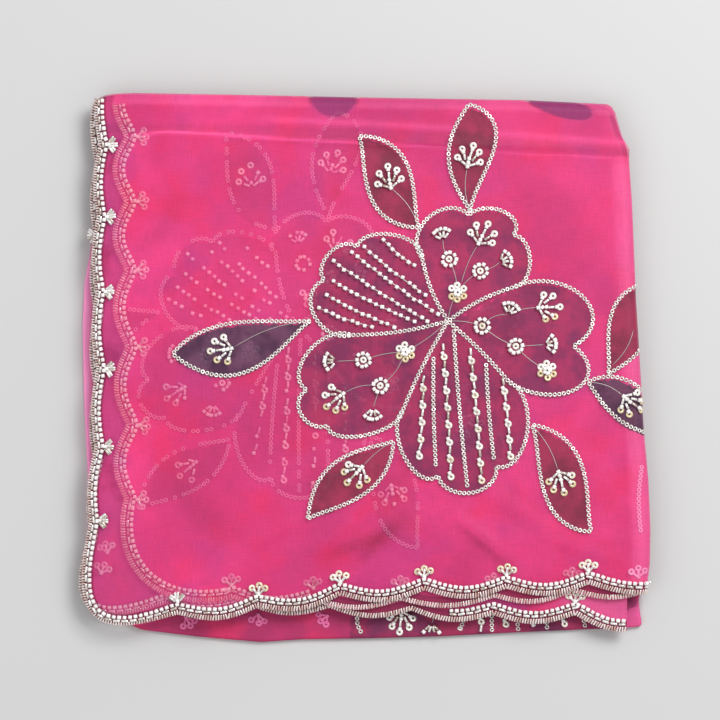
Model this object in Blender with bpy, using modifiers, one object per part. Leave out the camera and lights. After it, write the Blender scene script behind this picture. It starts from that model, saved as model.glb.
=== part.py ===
"""A dupatta stole of thin organza with corded, scalloped edges, folded into a flat packet.

The packet lies on a surface, and +Z is up. +Y points at its top fold and +X at its right fold.
Its left and front edges are the cloth's own scalloped edges. All sizes are in metres.
"""

import math

import bmesh
import bpy
import numpy as np
from mathutils import Vector
from mathutils.geometry import delaunay_2d_cdt

# Cloth, cord and the room left between pieces
WALL = 0.0014
LAYER_GAP = 0.0005
LAYER_STEP = WALL + LAYER_GAP
SEAM_GAP = 0.0003
CORD_GAP = 0.0006
CORD_RADIUS = 0.0009
CORD_SETBACK = 2 * CORD_RADIUS + CORD_GAP

# Heights in the packet
TOP_HEIGHT = 0.0153
CROWN = 0.0006
UNDER_FOLD_HEIGHT = 0.0031
LEAF_COUNT = 3
PANEL_LEVEL = {"top_panel": 0, "second_panel": 1, "third_panel": 2}
HIDDEN_LAYERS_DROP = 3 * LAYER_STEP + 0.0008

# The top panel turns down over the stack at the two folds, by a quarter turn of this radius
FOLD_RADIUS = 3 * WALL + 2 * LAYER_GAP
FOLD_REACH = FOLD_RADIUS * math.pi / 2
FOLD_ROWS = 3
FOLD_CORNER_POINTS = 5

# Where the scalloped edges run into the folds: y at the right fold, and x at the top fold
EDGE_MEETS_RIGHT_Y = -0.118
EDGE_MEETS_TOP_X = -0.141

# The packet's middle, measured over everything, which becomes the origin
PACKET_MIDDLE = (-0.00018, -0.00005)

# How far the stack sinks towards its open edges: distance along the axis, drop
LEFT_DROOP = {"x": (-0.153, -0.141, -0.127, -0.105), "drop": (0.0032, 0.0018, 0.0006, 0.0)}
FRONT_DROOP = {"y": (-0.142, -0.129, -0.114, -0.092), "drop": (0.0032, 0.0018, 0.0006, 0.0)}

# The right fold, from the front to the top, and the top fold, from left to right
RIGHT_FOLD = {
    "y": (-0.122, -0.105, -0.086, -0.060, -0.033, 0.002, 0.037, 0.063, 0.089, 0.1115, 0.117, 0.124, 0.139),
    "x": (0.1505, 0.1527, 0.1530, 0.1519, 0.1494, 0.1474, 0.1452,
          0.1442, 0.1431, 0.1415, 0.1418, 0.1378, 0.1335),
}
TOP_FOLD = {
    "x": (-0.152, -0.124, -0.061, 0.004, 0.085, 0.134),
    "y": (0.1462, 0.1474, 0.1463, 0.1449, 0.1436, 0.1412),
}

# Scallops of each panel's edge. The points are where two scallops meet, on the cord's outer side.
# corner_power squares the corner scallop, and corner_swell is how far it stands out in X and in Y.
SCALLOPS = {
    "top_panel": {
        "left_x": (-0.1425, -0.1425, -0.1435, -0.1442, -0.1438, -0.1445, -0.1475),
        "left_y": (0.1590, 0.1196, 0.0810, 0.0409, -0.0003, -0.0420, -0.0816),
        "left_bulge": 0.0034,
        "front_x": (-0.1003, -0.0570, -0.0131, 0.0318, 0.0757, 0.1196, 0.1635),
        "front_y": (-0.1319, -0.1281, -0.1217, -0.1190, -0.1180, -0.1158, -0.1145),
        "front_bulge": 0.0050,
        "corner_power": 4.0,
        "corner_swell": (0.0058, 0.0080),
    },
    "second_panel": {
        "left_x": (-0.1285, -0.1285, -0.1285, -0.1285, -0.1280, -0.1280, -0.1285),
        "left_y": (0.1590, 0.1239, 0.0891, 0.0527, 0.0115, -0.0292, -0.0704),
        "left_bulge": 0.0058,
        "front_x": (-0.0714, -0.0276, 0.0190, 0.0693, 0.1110, 0.1550),
        "front_y": (-0.1235, -0.1250, -0.1245, -0.1230, -0.1200, -0.1185),
        "front_bulge": 0.0048,
        "corner_power": 2.5,
        "corner_swell": (0.0050, 0.0050),
    },
    "third_panel": {
        "left_x": (-0.1448, -0.1448, -0.1450, -0.1452, -0.1452, -0.1456, -0.1480),
        "left_y": (0.1490, 0.1100, 0.0700, 0.0300, -0.0100, -0.0500, -0.0880),
        "left_bulge": 0.0036,
        "front_x": (-0.1070, -0.0630, -0.0190, 0.0249, 0.0687, 0.1126, 0.1530),
        "front_y": (-0.1265, -0.1270, -0.1285, -0.1300, -0.1324, -0.1324, -0.1400),
        "front_bulge": 0.0048,
        "corner_power": 4.0,
        "corner_swell": (0.0086, 0.0050),
    },
}
SCALLOP_STEPS = 6
CORNER_STEPS = 14

# How far the second and third panels stop short of the right and top folds
PANEL_INSET = {"second_panel": 0.0048, "third_panel": 0.0028}
THIRD_PANEL_RIGHT = 0.1404
THIRD_PANEL_RIGHT_FROM = -0.118

# Soft ridges in the top panel: where each one starts and ends, its half width and its height
RIDGES = {
    "start_x": (-0.122, 0.046, -0.030, -0.011, -0.074, 0.1400),
    "start_y": (0.1265, -0.076, -0.102, -0.104, -0.100, -0.030),
    "end_x": (0.130, 0.074, -0.006, 0.013, -0.034, 0.1425),
    "end_y": (0.1180, -0.100, -0.080, -0.082, -0.067, -0.100),
    "half_width": (0.0070, 0.0070, 0.0060, 0.0060, 0.0090, 0.0040),
    "height": (0.0013, 0.0009, 0.0008, 0.0007, 0.0007, 0.0006),
}
RIDGE_STEP = 0.012
RIDGE_TAPER = 0.25

# Spacing of a panel's inner points
GRID_STEP = {"top_panel": 0.018, "second_panel": 0.034, "third_panel": 0.034}
CLEAR_OF_ROWS = 0.006
ROW_SPACING = 0.0012
EDGE_TESTS = np.linspace(0.1, 0.9, 9)
SIDE_STEP = 0.020

# The hidden layers' outline, inside the panels' edges, the shape of each folded leaf on its sides, and the
# rings on top, as shares of the rim
HIDDEN_LEFT = -0.1425
HIDDEN_FRONT = -0.1225
HIDDEN_FOLD_INSET = 0.0008
HIDDEN_CORNER_RADIUS = 0.012
LEAF_PROFILE = {"share": (0.0, 0.10, 0.50, 0.90), "inset": (0.0013, 0.0003, 0.0, 0.0003)}
LEAF_TOP_INSET = 0.0013
HIDDEN_TOP_SHARES = (0.93, 0.85, 0.73, 0.45)

# The lowest fold's outline: its left side, front edge, and what it leaves at the right and top folds
UNDER_LEFT = {
    "y": (-0.112, -0.080, -0.055, -0.026, -0.006, 0.023, 0.045, 0.066, 0.100, 0.136),
    "x": (-0.1480, -0.1486, -0.1490, -0.1506, -0.1512, -0.1517, -0.1508, -0.1470, -0.1435, -0.1425),
}
UNDER_FRONT = {
    "x": (-0.135, -0.120, -0.089, -0.056, -0.034, 0.001, 0.040, 0.083, 0.119, 0.138),
    "y": (-0.1340, -0.1407, -0.1444, -0.1473, -0.1458, -0.1453, -0.1442, -0.1420, -0.1404, -0.1399),
}
UNDER_RIGHT_FRONT = {"x": (0.1490, 0.1478, 0.1469), "y": (-0.1387, -0.1317, -0.1244)}
UNDER_RIGHT_FROM = -0.112
UNDER_FOLD_INSET = 0.0016
UNDER_CORNER_RADIUS = 0.006
UNDER_PROFILE = {
    "z": (0.0, 0.0006, 0.0015, 0.0025, UNDER_FOLD_HEIGHT),
    "inset": (0.0009, 0.0002, 0.0, 0.0003, 0.0011),
}


def clear_scene():
    """Starts from an empty scene."""
    for item in list(bpy.data.objects):
        bpy.data.objects.remove(item)


def make_material(name, colour, roughness, metallic=0.0):
    """A plain Principled material."""
    material = bpy.data.materials.new(name)
    material.use_nodes = True
    shader = material.node_tree.nodes["Principled BSDF"]
    shader.inputs["Base Color"].default_value = (*colour, 1.0)
    shader.inputs["Roughness"].default_value = roughness
    shader.inputs["Metallic"].default_value = metallic
    return material


def stack_height(points):
    """Height of the packet's smooth top over each (x, y): a low crown, sinking at the two open edges."""
    x, y = points[:, 0], points[:, 1]
    crown = CROWN * np.cos(x * math.pi / 0.31) * np.cos(y * math.pi / 0.30)
    left = np.interp(x, LEFT_DROOP["x"], LEFT_DROOP["drop"])
    front = np.interp(y, FRONT_DROOP["y"], FRONT_DROOP["drop"])
    return TOP_HEIGHT + crown - left - front


def ridge_height(points):
    """Added height of the soft ridges: a tent across each one, tapering at both its ends."""
    added = np.zeros(len(points))
    for row in range(len(RIDGES["height"])):
        start = np.array((RIDGES["start_x"][row], RIDGES["start_y"][row]))
        end = np.array((RIDGES["end_x"][row], RIDGES["end_y"][row]))
        run = end - start
        share = np.clip((points - start) @ run / (run @ run), 0.0, 1.0)
        away = np.linalg.norm(points - start - share[:, None] * run, axis=1)
        across = np.clip(1.0 - away / RIDGES["half_width"][row], 0.0, 1.0)
        along = np.clip(np.minimum(share, 1.0 - share) / RIDGE_TAPER, 0.0, 1.0)
        added = np.maximum(added, RIDGES["height"][row] * across * along)
    return added


def offset_inwards(path, distance):
    """The open path moved to its left by distance, mitred where it turns."""
    before = np.vstack([path[:1], path[:-1]])
    after = np.vstack([path[1:], path[-1:]])
    into = path - before
    out = after - path
    into[0], out[-1] = out[0], into[-1]
    into /= np.linalg.norm(into, axis=1)[:, None]
    out /= np.linalg.norm(out, axis=1)[:, None]
    normal = np.stack([-(into + out)[:, 1], (into + out)[:, 0]], axis=1)
    normal /= np.linalg.norm(normal, axis=1)[:, None]
    lean = np.sum(normal * np.stack([-out[:, 1], out[:, 0]], axis=1), axis=1)
    return path + normal * (distance / lean)[:, None]


def scallop_run(xs, ys, bulge):
    """Scallops between neighbouring points: half sine waves standing out to the right of the path."""
    share = np.linspace(0.0, 1.0, SCALLOP_STEPS + 1)[:-1]
    run = []
    for start, end in zip(zip(xs, ys), zip(xs[1:], ys[1:])):
        start, end = np.array(start), np.array(end)
        along = end - start
        outwards = np.array((along[1], -along[0])) / np.linalg.norm(along)
        run.append(start + share[:, None] * along + np.sin(math.pi * share)[:, None] * bulge * outwards)
    return np.vstack([*run, [(xs[-1], ys[-1])]])


def corner_scallop(start, end, power, swell):
    """The scallop round the front left corner: a quarter superellipse that swells between its ends."""
    centre = np.array((end[0], start[1]))
    share = np.linspace(0.0, 1.0, CORNER_STEPS + 1)[1:-1]
    eased = np.where(share < 0.5, 2 * share**2, 1 - 2 * (1 - share) ** 2)
    angle = eased * math.pi / 2
    stand_out = np.sqrt(np.sin(2 * angle))
    radius_x = centre[0] - start[0] + swell[0] * stand_out
    radius_y = centre[1] - end[1] + swell[1] * stand_out
    x = centre[0] - radius_x * np.cos(angle) ** (2 / power)
    y = centre[1] - radius_y * np.sin(angle) ** (2 / power)
    return np.stack([x, y], axis=1)


def edge_path(panel):
    """The cord's outer side along a panel's scalloped edge, down the left side and along the front."""
    row = SCALLOPS[panel]
    left = scallop_run(row["left_x"], row["left_y"], row["left_bulge"])
    front = scallop_run(row["front_x"], row["front_y"], row["front_bulge"])
    corner = corner_scallop(left[-1], front[0], row["corner_power"], row["corner_swell"])
    return np.vstack([left, corner, front])


def right_fold(y):
    return np.interp(y, RIGHT_FOLD["y"], RIGHT_FOLD["x"])


def top_fold(x):
    return np.interp(x, TOP_FOLD["x"], TOP_FOLD["y"])


def clip_path(path, right, top):
    """The stretch of an edge path that lies left of x = right and below y = top, cut exactly there."""
    for axis, limit in ((1, top), (0, right)):
        inside = path[:, axis] <= limit
        first, last = np.flatnonzero(inside)[[0, -1]]
        kept = [path[first : last + 1]]
        if first > 0:
            share = (limit - path[first, axis]) / (path[first - 1, axis] - path[first, axis])
            kept.insert(0, [path[first] + share * (path[first - 1] - path[first])])
        if last < len(path) - 1:
            share = (limit - path[last, axis]) / (path[last + 1, axis] - path[last, axis])
            kept.append([path[last] + share * (path[last + 1] - path[last])])
        path = np.vstack(kept)
    return path


def fold_line(beyond, from_y, to_x):
    """Points up the right side and back along the top, beyond the lines where the folds begin to turn."""
    ys = np.arange(from_y, RIGHT_FOLD["y"][-1] - FOLD_RADIUS, SIDE_STEP)
    right = np.stack([right_fold(ys) - FOLD_RADIUS + beyond, ys], axis=1)
    start_x = RIGHT_FOLD["x"][-1] - FOLD_RADIUS
    start_y = top_fold(start_x) - FOLD_RADIUS
    angle = np.linspace(0.0, math.pi / 2, FOLD_CORNER_POINTS)
    corner = np.stack([start_x + beyond * np.cos(angle), start_y + beyond * np.sin(angle)], axis=1)
    xs = np.arange(start_x - SIDE_STEP, to_x, -SIDE_STEP)
    top = np.stack([xs, top_fold(xs) - FOLD_RADIUS + beyond], axis=1)
    return np.vstack([right, corner, top])


def turn_over_folds(flat):
    """Bends flat cloth down round the right and top folds. Beyond each fold's start, a distance along the
    cloth becomes an angle round FOLD_RADIUS, and the height lost is given back as the third number."""
    start_x = right_fold(np.clip(flat[:, 1], None, RIGHT_FOLD["y"][-1])) - FOLD_RADIUS
    start_y = top_fold(np.clip(flat[:, 0], None, RIGHT_FOLD["x"][-1] - FOLD_RADIUS)) - FOLD_RADIUS
    past = np.stack([np.maximum(flat[:, 0] - start_x, 0), np.maximum(flat[:, 1] - start_y, 0)], axis=1)
    far = np.linalg.norm(past, axis=1)
    angle = far / FOLD_RADIUS
    pull = np.where(far > 0, FOLD_RADIUS * np.sin(angle) / np.maximum(far, 1e-9) - 1.0, 0.0)
    placed = flat + past * pull[:, None]
    return np.column_stack([placed, FOLD_RADIUS * (1 - np.cos(angle))])


def ring_edges(first, count, closed):
    """Edges that join count points in order, from the number of the first one."""
    edges = [(first + i, first + i + 1) for i in range(count - 1)]
    if closed:
        edges.append((first + count - 1, first))
    return edges


def droop_rows(outline, step):
    """Rows of points along the lines where the droop changes slope, kept inside the outline."""
    low, high = outline.min(axis=0), outline.max(axis=0)
    rows = []
    for x in LEFT_DROOP["x"][1:]:
        ys = np.arange(low[1], high[1], step)
        rows.append(np.stack([np.full(len(ys), x), ys], axis=1))
    for y in FRONT_DROOP["y"][1:]:
        xs = np.arange(low[0], high[0], step)
        rows.append(np.stack([xs, np.full(len(xs), y)], axis=1))
    return rows


def ridge_rows():
    """Three rows of points for each ridge: its crest and the foot of both its flanks."""
    rows = []
    for row in range(len(RIDGES["height"])):
        start = np.array((RIDGES["start_x"][row], RIDGES["start_y"][row]))
        end = np.array((RIDGES["end_x"][row], RIDGES["end_y"][row]))
        length = np.linalg.norm(end - start)
        share = np.linspace(0.0, 1.0, max(4, int(length / RIDGE_STEP)))
        crest = start + share[:, None] * (end - start)
        sideways = np.array((-(end - start)[1], (end - start)[0])) / length
        for side in (-1, 0, 1):
            rows.append(crest[1:-1] + side * RIDGES["half_width"][row] * sideways)
    return rows


def inside_by(points, outline, margin):
    """True for each point inside the closed outline and at least margin from it."""
    start, end = outline, np.roll(outline, -1, axis=0)
    run = end - start
    away = points[:, None] - start[None]
    share = np.clip(np.sum(away * run, axis=2) / np.sum(run * run, axis=1), 0.0, 1.0)
    near = np.linalg.norm(away - share[..., None] * run, axis=2).min(axis=1)
    straddles = (start[None, :, 1] > points[:, 1:2]) != (end[None, :, 1] > points[:, 1:2])
    rise = np.where(run[:, 1] == 0, 1e-12, run[:, 1])
    crossing = start[None, :, 0] + (points[:, 1:2] - start[None, :, 1]) * run[:, 0] / rise
    odd = np.sum(straddles & (points[:, :1] < crossing), axis=1) % 2 == 1
    return odd & (near > margin)


def fill_outline(outline, rows, grid_step):
    """Triangles that fill a closed outline, with points on the rows given and on a loose grid."""
    used, edges = [outline], ring_edges(0, len(outline), closed=True)
    for row in rows:
        row = row[inside_by(row, outline, ROW_SPACING)]
        taken = np.vstack(used)
        near = np.linalg.norm(row[:, None] - taken[None], axis=2).min(axis=1)
        row = row[near > ROW_SPACING]
        for pair in ring_edges(0, len(row), closed=False):
            between = row[pair[0]] + EDGE_TESTS[:, None] * (row[pair[1]] - row[pair[0]])
            if inside_by(between, outline, 0.0).all():
                edges.append((len(taken) + pair[0], len(taken) + pair[1]))
        used.append(row)
    low, high = outline.min(axis=0), outline.max(axis=0)
    xs = np.arange(low[0] + grid_step / 2, high[0], grid_step)
    ys = np.arange(low[1] + grid_step / 2, high[1], grid_step)
    grid = np.stack(np.meshgrid(xs, ys), axis=2).reshape(-1, 2)
    grid = grid[inside_by(grid, outline, CLEAR_OF_ROWS)]
    taken = np.vstack(used)
    near = np.linalg.norm(grid[:, None] - taken[None], axis=2).min(axis=1)
    used.append(grid[near > CLEAR_OF_ROWS])
    points = [Vector(point) for point in np.vstack(used)]
    made, _, faces, _, _, _ = delaunay_2d_cdt(points, edges, [], 1, 1e-7)
    return np.array([tuple(point) for point in made]), faces


def add_mesh(name, vertices, faces, material, collection, frame):
    """A new object of the given vertices and faces, held by the packet's frame."""
    mesh = bpy.data.meshes.new(name)
    mesh.from_pydata([tuple(vertex) for vertex in vertices], [], [tuple(face) for face in faces])
    mesh.validate()
    mesh.shade_smooth()
    mesh.set_sharp_from_angle(angle=math.radians(40))
    mesh.materials.append(material)
    piece = bpy.data.objects.new(name, mesh)
    piece.parent = frame
    collection.objects.link(piece)
    return piece


def make_top_panel(material, collection, frame):
    """The top panel: scalloped at the left and front, turned down at the right and top folds."""
    edge = offset_inwards(edge_path("top_panel"), CORD_SETBACK)
    limit_x = right_fold(EDGE_MEETS_RIGHT_Y) - FOLD_RADIUS + FOLD_REACH
    limit_y = top_fold(EDGE_MEETS_TOP_X) - FOLD_RADIUS + FOLD_REACH
    edge = clip_path(edge, limit_x, limit_y)
    sides = fold_line(FOLD_REACH, edge[-1, 1] + SIDE_STEP / 2, edge[0, 0] + SIDE_STEP / 2)
    outline = np.vstack([edge, sides])
    rows = droop_rows(outline, GRID_STEP["top_panel"])
    for turn in range(FOLD_ROWS):
        beyond = FOLD_REACH * turn / FOLD_ROWS
        rows.append(fold_line(beyond, edge[-1, 1] + CLEAR_OF_ROWS, edge[0, 0] + CLEAR_OF_ROWS))
    rows = rows[-FOLD_ROWS:] + ridge_rows() + rows[:-FOLD_ROWS]
    flat, faces = fill_outline(outline, rows, GRID_STEP["top_panel"])
    placed = turn_over_folds(flat)
    placed[:, 2] = stack_height(placed[:, :2]) + ridge_height(flat) - placed[:, 2]
    panel = add_mesh("top_panel", placed, faces, material, collection, frame)
    thicken(panel)


def make_lower_panel(name, material, collection, frame):
    """The second or third panel: flat cloth under the one above, stopping short of the two folds."""
    edge = offset_inwards(edge_path(name), CORD_SETBACK)
    inset = PANEL_INSET[name]
    right = right_fold(EDGE_MEETS_RIGHT_Y) - inset
    if name == "third_panel":
        right = THIRD_PANEL_RIGHT
    edge = clip_path(edge, right, top_fold(EDGE_MEETS_TOP_X) - inset)
    sides = fold_line(FOLD_RADIUS - inset, edge[-1, 1] + SIDE_STEP / 2, edge[0, 0] + SIDE_STEP / 2)
    if name == "third_panel":
        in_front = sides[:, 1] < THIRD_PANEL_RIGHT_FROM + SIDE_STEP
        sides[in_front, 0] = THIRD_PANEL_RIGHT
    outline = np.vstack([edge, sides])
    flat, faces = fill_outline(outline, droop_rows(outline, GRID_STEP[name]), GRID_STEP[name])
    height = stack_height(flat) - PANEL_LEVEL[name] * LAYER_STEP
    panel = add_mesh(name, np.column_stack([flat, height]), faces, material, collection, frame)
    thicken(panel)


def thicken(panel):
    """Gives a panel its wall, downwards from the surface that shows."""
    wall = panel.modifiers.new("cloth wall", "SOLIDIFY")
    wall.thickness = WALL
    wall.offset = -1.0
    wall.use_even_offset = True


def make_corded_edge(panel, name, right, material, collection, frame):
    """The cord sewn round a panel's scalloped edge: a round tube beside the wall's rim."""
    line = offset_inwards(edge_path(panel), CORD_RADIUS)
    line = clip_path(line, right, top_fold(EDGE_MEETS_TOP_X) - FOLD_RADIUS)
    height = stack_height(line) - PANEL_LEVEL[panel] * LAYER_STEP - WALL / 2
    curve = bpy.data.curves.new(name, "CURVE")
    curve.dimensions = "3D"
    curve.bevel_depth = CORD_RADIUS
    curve.bevel_resolution = 1
    curve.use_fill_caps = True
    spline = curve.splines.new("POLY")
    spline.points.add(len(line) - 1)
    for point, (x, y), z in zip(spline.points, line, height):
        point.co = (x, y, z, 1.0)
    curve.materials.append(material)
    cord = bpy.data.objects.new(name, curve)
    cord.parent = frame
    collection.objects.link(cord)


def round_corners(outline, radius):
    """The closed outline with every corner sharper than 45 degrees replaced by an arc of four points."""
    rounded = []
    for before, corner, after in zip(np.roll(outline, 1, axis=0), outline, np.roll(outline, -1, axis=0)):
        into = (corner - before) / np.linalg.norm(corner - before)
        out = (after - corner) / np.linalg.norm(after - corner)
        if into @ out > math.cos(math.radians(45)):
            rounded.append(corner)
            continue
        start, end = corner - into * radius, corner + out * radius
        for share in (0.0, 0.33, 0.67, 1.0):
            rounded.append((1 - share) ** 2 * start + 2 * share * (1 - share) * corner + share**2 * end)
    return np.array(rounded)


def inset_outline(outline, distance):
    """The closed outline, anticlockwise, moved inwards by distance."""
    wrapped = np.vstack([outline[-1:], outline, outline[:1]])
    return offset_inwards(wrapped, distance)[1:-1]


def ring_solid(name, rings, material, collection, frame):
    """A closed solid through rings of equal count, the lowest first, with both ends filled."""
    solid = bmesh.new()
    loops = [[solid.verts.new(point) for point in ring] for ring in rings]
    for lower, upper in zip(loops, loops[1:]):
        for i, corner in enumerate(lower):
            following = (i + 1) % len(lower)
            solid.faces.new((corner, lower[following], upper[following], upper[i]))
    for end in (list(reversed(loops[0])), loops[-1]):
        cap = solid.faces.new(end)
        bmesh.ops.triangulate(solid, faces=[cap])
    mesh = bpy.data.meshes.new(name)
    solid.to_mesh(mesh)
    solid.free()
    mesh.shade_smooth()
    mesh.set_sharp_from_angle(angle=math.radians(50))
    mesh.materials.append(material)
    piece = bpy.data.objects.new(name, mesh)
    piece.parent = frame
    collection.objects.link(piece)


def hidden_outline():
    """The hidden layers' outline, anticlockwise from the front left corner."""
    front_xs = np.arange(HIDDEN_LEFT, right_fold(HIDDEN_FRONT) - SIDE_STEP / 2, SIDE_STEP)
    front = np.stack([front_xs, np.full(len(front_xs), HIDDEN_FRONT)], axis=1)
    ys = np.arange(HIDDEN_FRONT, RIGHT_FOLD["y"][-1] - SIDE_STEP / 2, SIDE_STEP)
    right = np.stack([right_fold(ys) - HIDDEN_FOLD_INSET, ys], axis=1)
    corner_x = RIGHT_FOLD["x"][-1] - HIDDEN_FOLD_INSET
    xs = np.arange(corner_x, HIDDEN_LEFT + SIDE_STEP / 2, -SIDE_STEP)
    top = np.stack([xs, top_fold(xs) - HIDDEN_FOLD_INSET], axis=1)
    left_ys = np.arange(top_fold(HIDDEN_LEFT) - HIDDEN_FOLD_INSET, HIDDEN_FRONT + SIDE_STEP / 2, -SIDE_STEP)
    left = np.stack([np.full(len(left_ys), HIDDEN_LEFT), left_ys], axis=1)
    return round_corners(np.vstack([front, right, top, left]), HIDDEN_CORNER_RADIUS)


def make_hidden_layers(material, collection, frame):
    """The layers that don't show: folded leaves, each a rounded loop on the sides, under a flat top."""
    outline = hidden_outline()
    base = UNDER_FOLD_HEIGHT + SEAM_GAP
    rings = []
    for leaf in range(LEAF_COUNT):
        for share, inset in zip(LEAF_PROFILE["share"], LEAF_PROFILE["inset"]):
            rings.append(((leaf + share) / LEAF_COUNT, inset))
    rings.append((1.0, LEAF_TOP_INSET))
    placed = []
    for share, inset in rings:
        ring = inset_outline(outline, inset)
        ceiling = stack_height(ring) - HIDDEN_LAYERS_DROP
        placed.append(np.column_stack([ring, base + share * (ceiling - base)]))
    rim = inset_outline(outline, LEAF_TOP_INSET)
    for share in HIDDEN_TOP_SHARES:
        ring = share * rim
        placed.append(np.column_stack([ring, stack_height(ring) - HIDDEN_LAYERS_DROP]))
    ring_solid("hidden_layers", placed, material, collection, frame)


def make_under_fold(material, collection, frame):
    """The lowest fold, which shows past the panels at the front and the left, flat where it rests."""
    left = np.stack([UNDER_LEFT["x"], UNDER_LEFT["y"]], axis=1)[::-1]
    front = np.stack([UNDER_FRONT["x"], UNDER_FRONT["y"]], axis=1)
    front_right = np.stack([UNDER_RIGHT_FRONT["x"], UNDER_RIGHT_FRONT["y"]], axis=1)
    ys = np.arange(UNDER_RIGHT_FROM, RIGHT_FOLD["y"][-1] - SIDE_STEP / 2, SIDE_STEP)
    right = np.stack([right_fold(ys) - UNDER_FOLD_INSET, ys], axis=1)
    xs = np.arange(RIGHT_FOLD["x"][-1] - UNDER_FOLD_INSET, UNDER_LEFT["x"][-1] + SIDE_STEP / 2, -SIDE_STEP)
    top = np.stack([xs, top_fold(xs) - UNDER_FOLD_INSET], axis=1)
    corner = np.array([(UNDER_LEFT["x"][-1], top_fold(UNDER_LEFT["x"][-1]) - UNDER_FOLD_INSET)])
    outline = round_corners(np.vstack([front, front_right, right, top, corner, left]), UNDER_CORNER_RADIUS)
    rings = []
    for z, inset in zip(UNDER_PROFILE["z"], UNDER_PROFILE["inset"]):
        ring = inset_outline(outline, inset)
        rings.append(np.column_stack([ring, np.full(len(ring), z)]))
    ring_solid("under_fold", rings, material, collection, frame)


def main():
    clear_scene()
    collection = bpy.data.collections.new("dupatta_stole")
    bpy.context.scene.collection.children.link(collection)
    frame = bpy.data.objects.new("packet_frame", None)
    frame.location = (-PACKET_MIDDLE[0], -PACKET_MIDDLE[1], 0.0)
    collection.objects.link(frame)
    organza = make_material("pink organza", (0.78, 0.075, 0.22), 0.55)
    shaded_organza = make_material("shaded pink organza", (0.50, 0.045, 0.15), 0.6)
    cord = make_material("silver wound cord", (0.72, 0.66, 0.60), 0.3, 1.0)
    make_under_fold(shaded_organza, collection, frame)
    make_hidden_layers(shaded_organza, collection, frame)
    make_lower_panel("third_panel", organza, collection, frame)
    make_lower_panel("second_panel", organza, collection, frame)
    make_top_panel(organza, collection, frame)
    fold_start = right_fold(EDGE_MEETS_RIGHT_Y) - FOLD_RADIUS
    make_corded_edge("third_panel", "third_corded_edge", THIRD_PANEL_RIGHT, cord, collection, frame)
    make_corded_edge("second_panel", "second_corded_edge", fold_start, cord, collection, frame)
    make_corded_edge("top_panel", "top_corded_edge", fold_start, cord, collection, frame)


main()
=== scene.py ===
"""A sheer pink organza dupatta stole with beaded scallops and an embroidered flower, folded flat.

Sizes are in millimetres in the packet's own plane, as the stole lies: x to the right, y away from the
front edge, z up. put() turns them into metres in the frame. Angles in tables are in degrees.
"""

import math

import bpy
import numpy as np
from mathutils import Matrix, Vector


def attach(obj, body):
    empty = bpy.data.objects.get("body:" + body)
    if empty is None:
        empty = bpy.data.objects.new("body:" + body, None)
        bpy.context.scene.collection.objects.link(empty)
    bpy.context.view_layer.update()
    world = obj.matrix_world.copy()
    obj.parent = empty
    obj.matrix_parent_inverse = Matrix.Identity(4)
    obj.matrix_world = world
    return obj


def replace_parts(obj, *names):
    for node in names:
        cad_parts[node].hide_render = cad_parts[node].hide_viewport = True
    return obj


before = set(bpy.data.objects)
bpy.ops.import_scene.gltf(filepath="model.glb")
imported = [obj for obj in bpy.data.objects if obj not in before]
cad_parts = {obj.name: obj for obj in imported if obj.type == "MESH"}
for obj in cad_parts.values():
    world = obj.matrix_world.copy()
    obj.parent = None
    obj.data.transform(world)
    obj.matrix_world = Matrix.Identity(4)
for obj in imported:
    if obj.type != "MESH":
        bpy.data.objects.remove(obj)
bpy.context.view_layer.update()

RANDOM = np.random.default_rng(27)
MM = 0.001
# Well past the packet
FAR = 400
PACKET_MIDDLE = np.array((-0.18, -0.05))

# The stack, with the same heights and folds as the solids
TOP_HEIGHT = 15.3
CROWN = 0.6
LAYER_STEP = 1.9
UNDER_FOLD_HEIGHT = 3.1
FOLD_RADIUS = 5.2
FOLD_TURN = math.radians(97)
FOLD_REACH = FOLD_RADIUS * FOLD_TURN
CORD_RADIUS = 0.9
LEFT_DROOP = {"x": (-153, -141, -127, -105), "drop": (3.2, 1.8, 0.6, 0.0)}
FRONT_DROOP = {"y": (-142, -129, -114, -92), "drop": (3.2, 1.8, 0.6, 0.0)}
RIGHT_FOLD = {
    "y": (-122, -105, -86, -60, -33, 2, 37, 63, 89, 111.5, 117, 124, 139),
    "x": (150.5, 152.7, 153, 151.9, 149.4, 147.4, 145.2, 144.2, 143.1, 141.5, 141.8, 137.8, 133.5),
}
TOP_FOLD = {
    "x": (-152, -124, -61, 4, 85, 134),
    "y": (146.2, 147.4, 146.3, 144.9, 143.6, 141.2),
}

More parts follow.
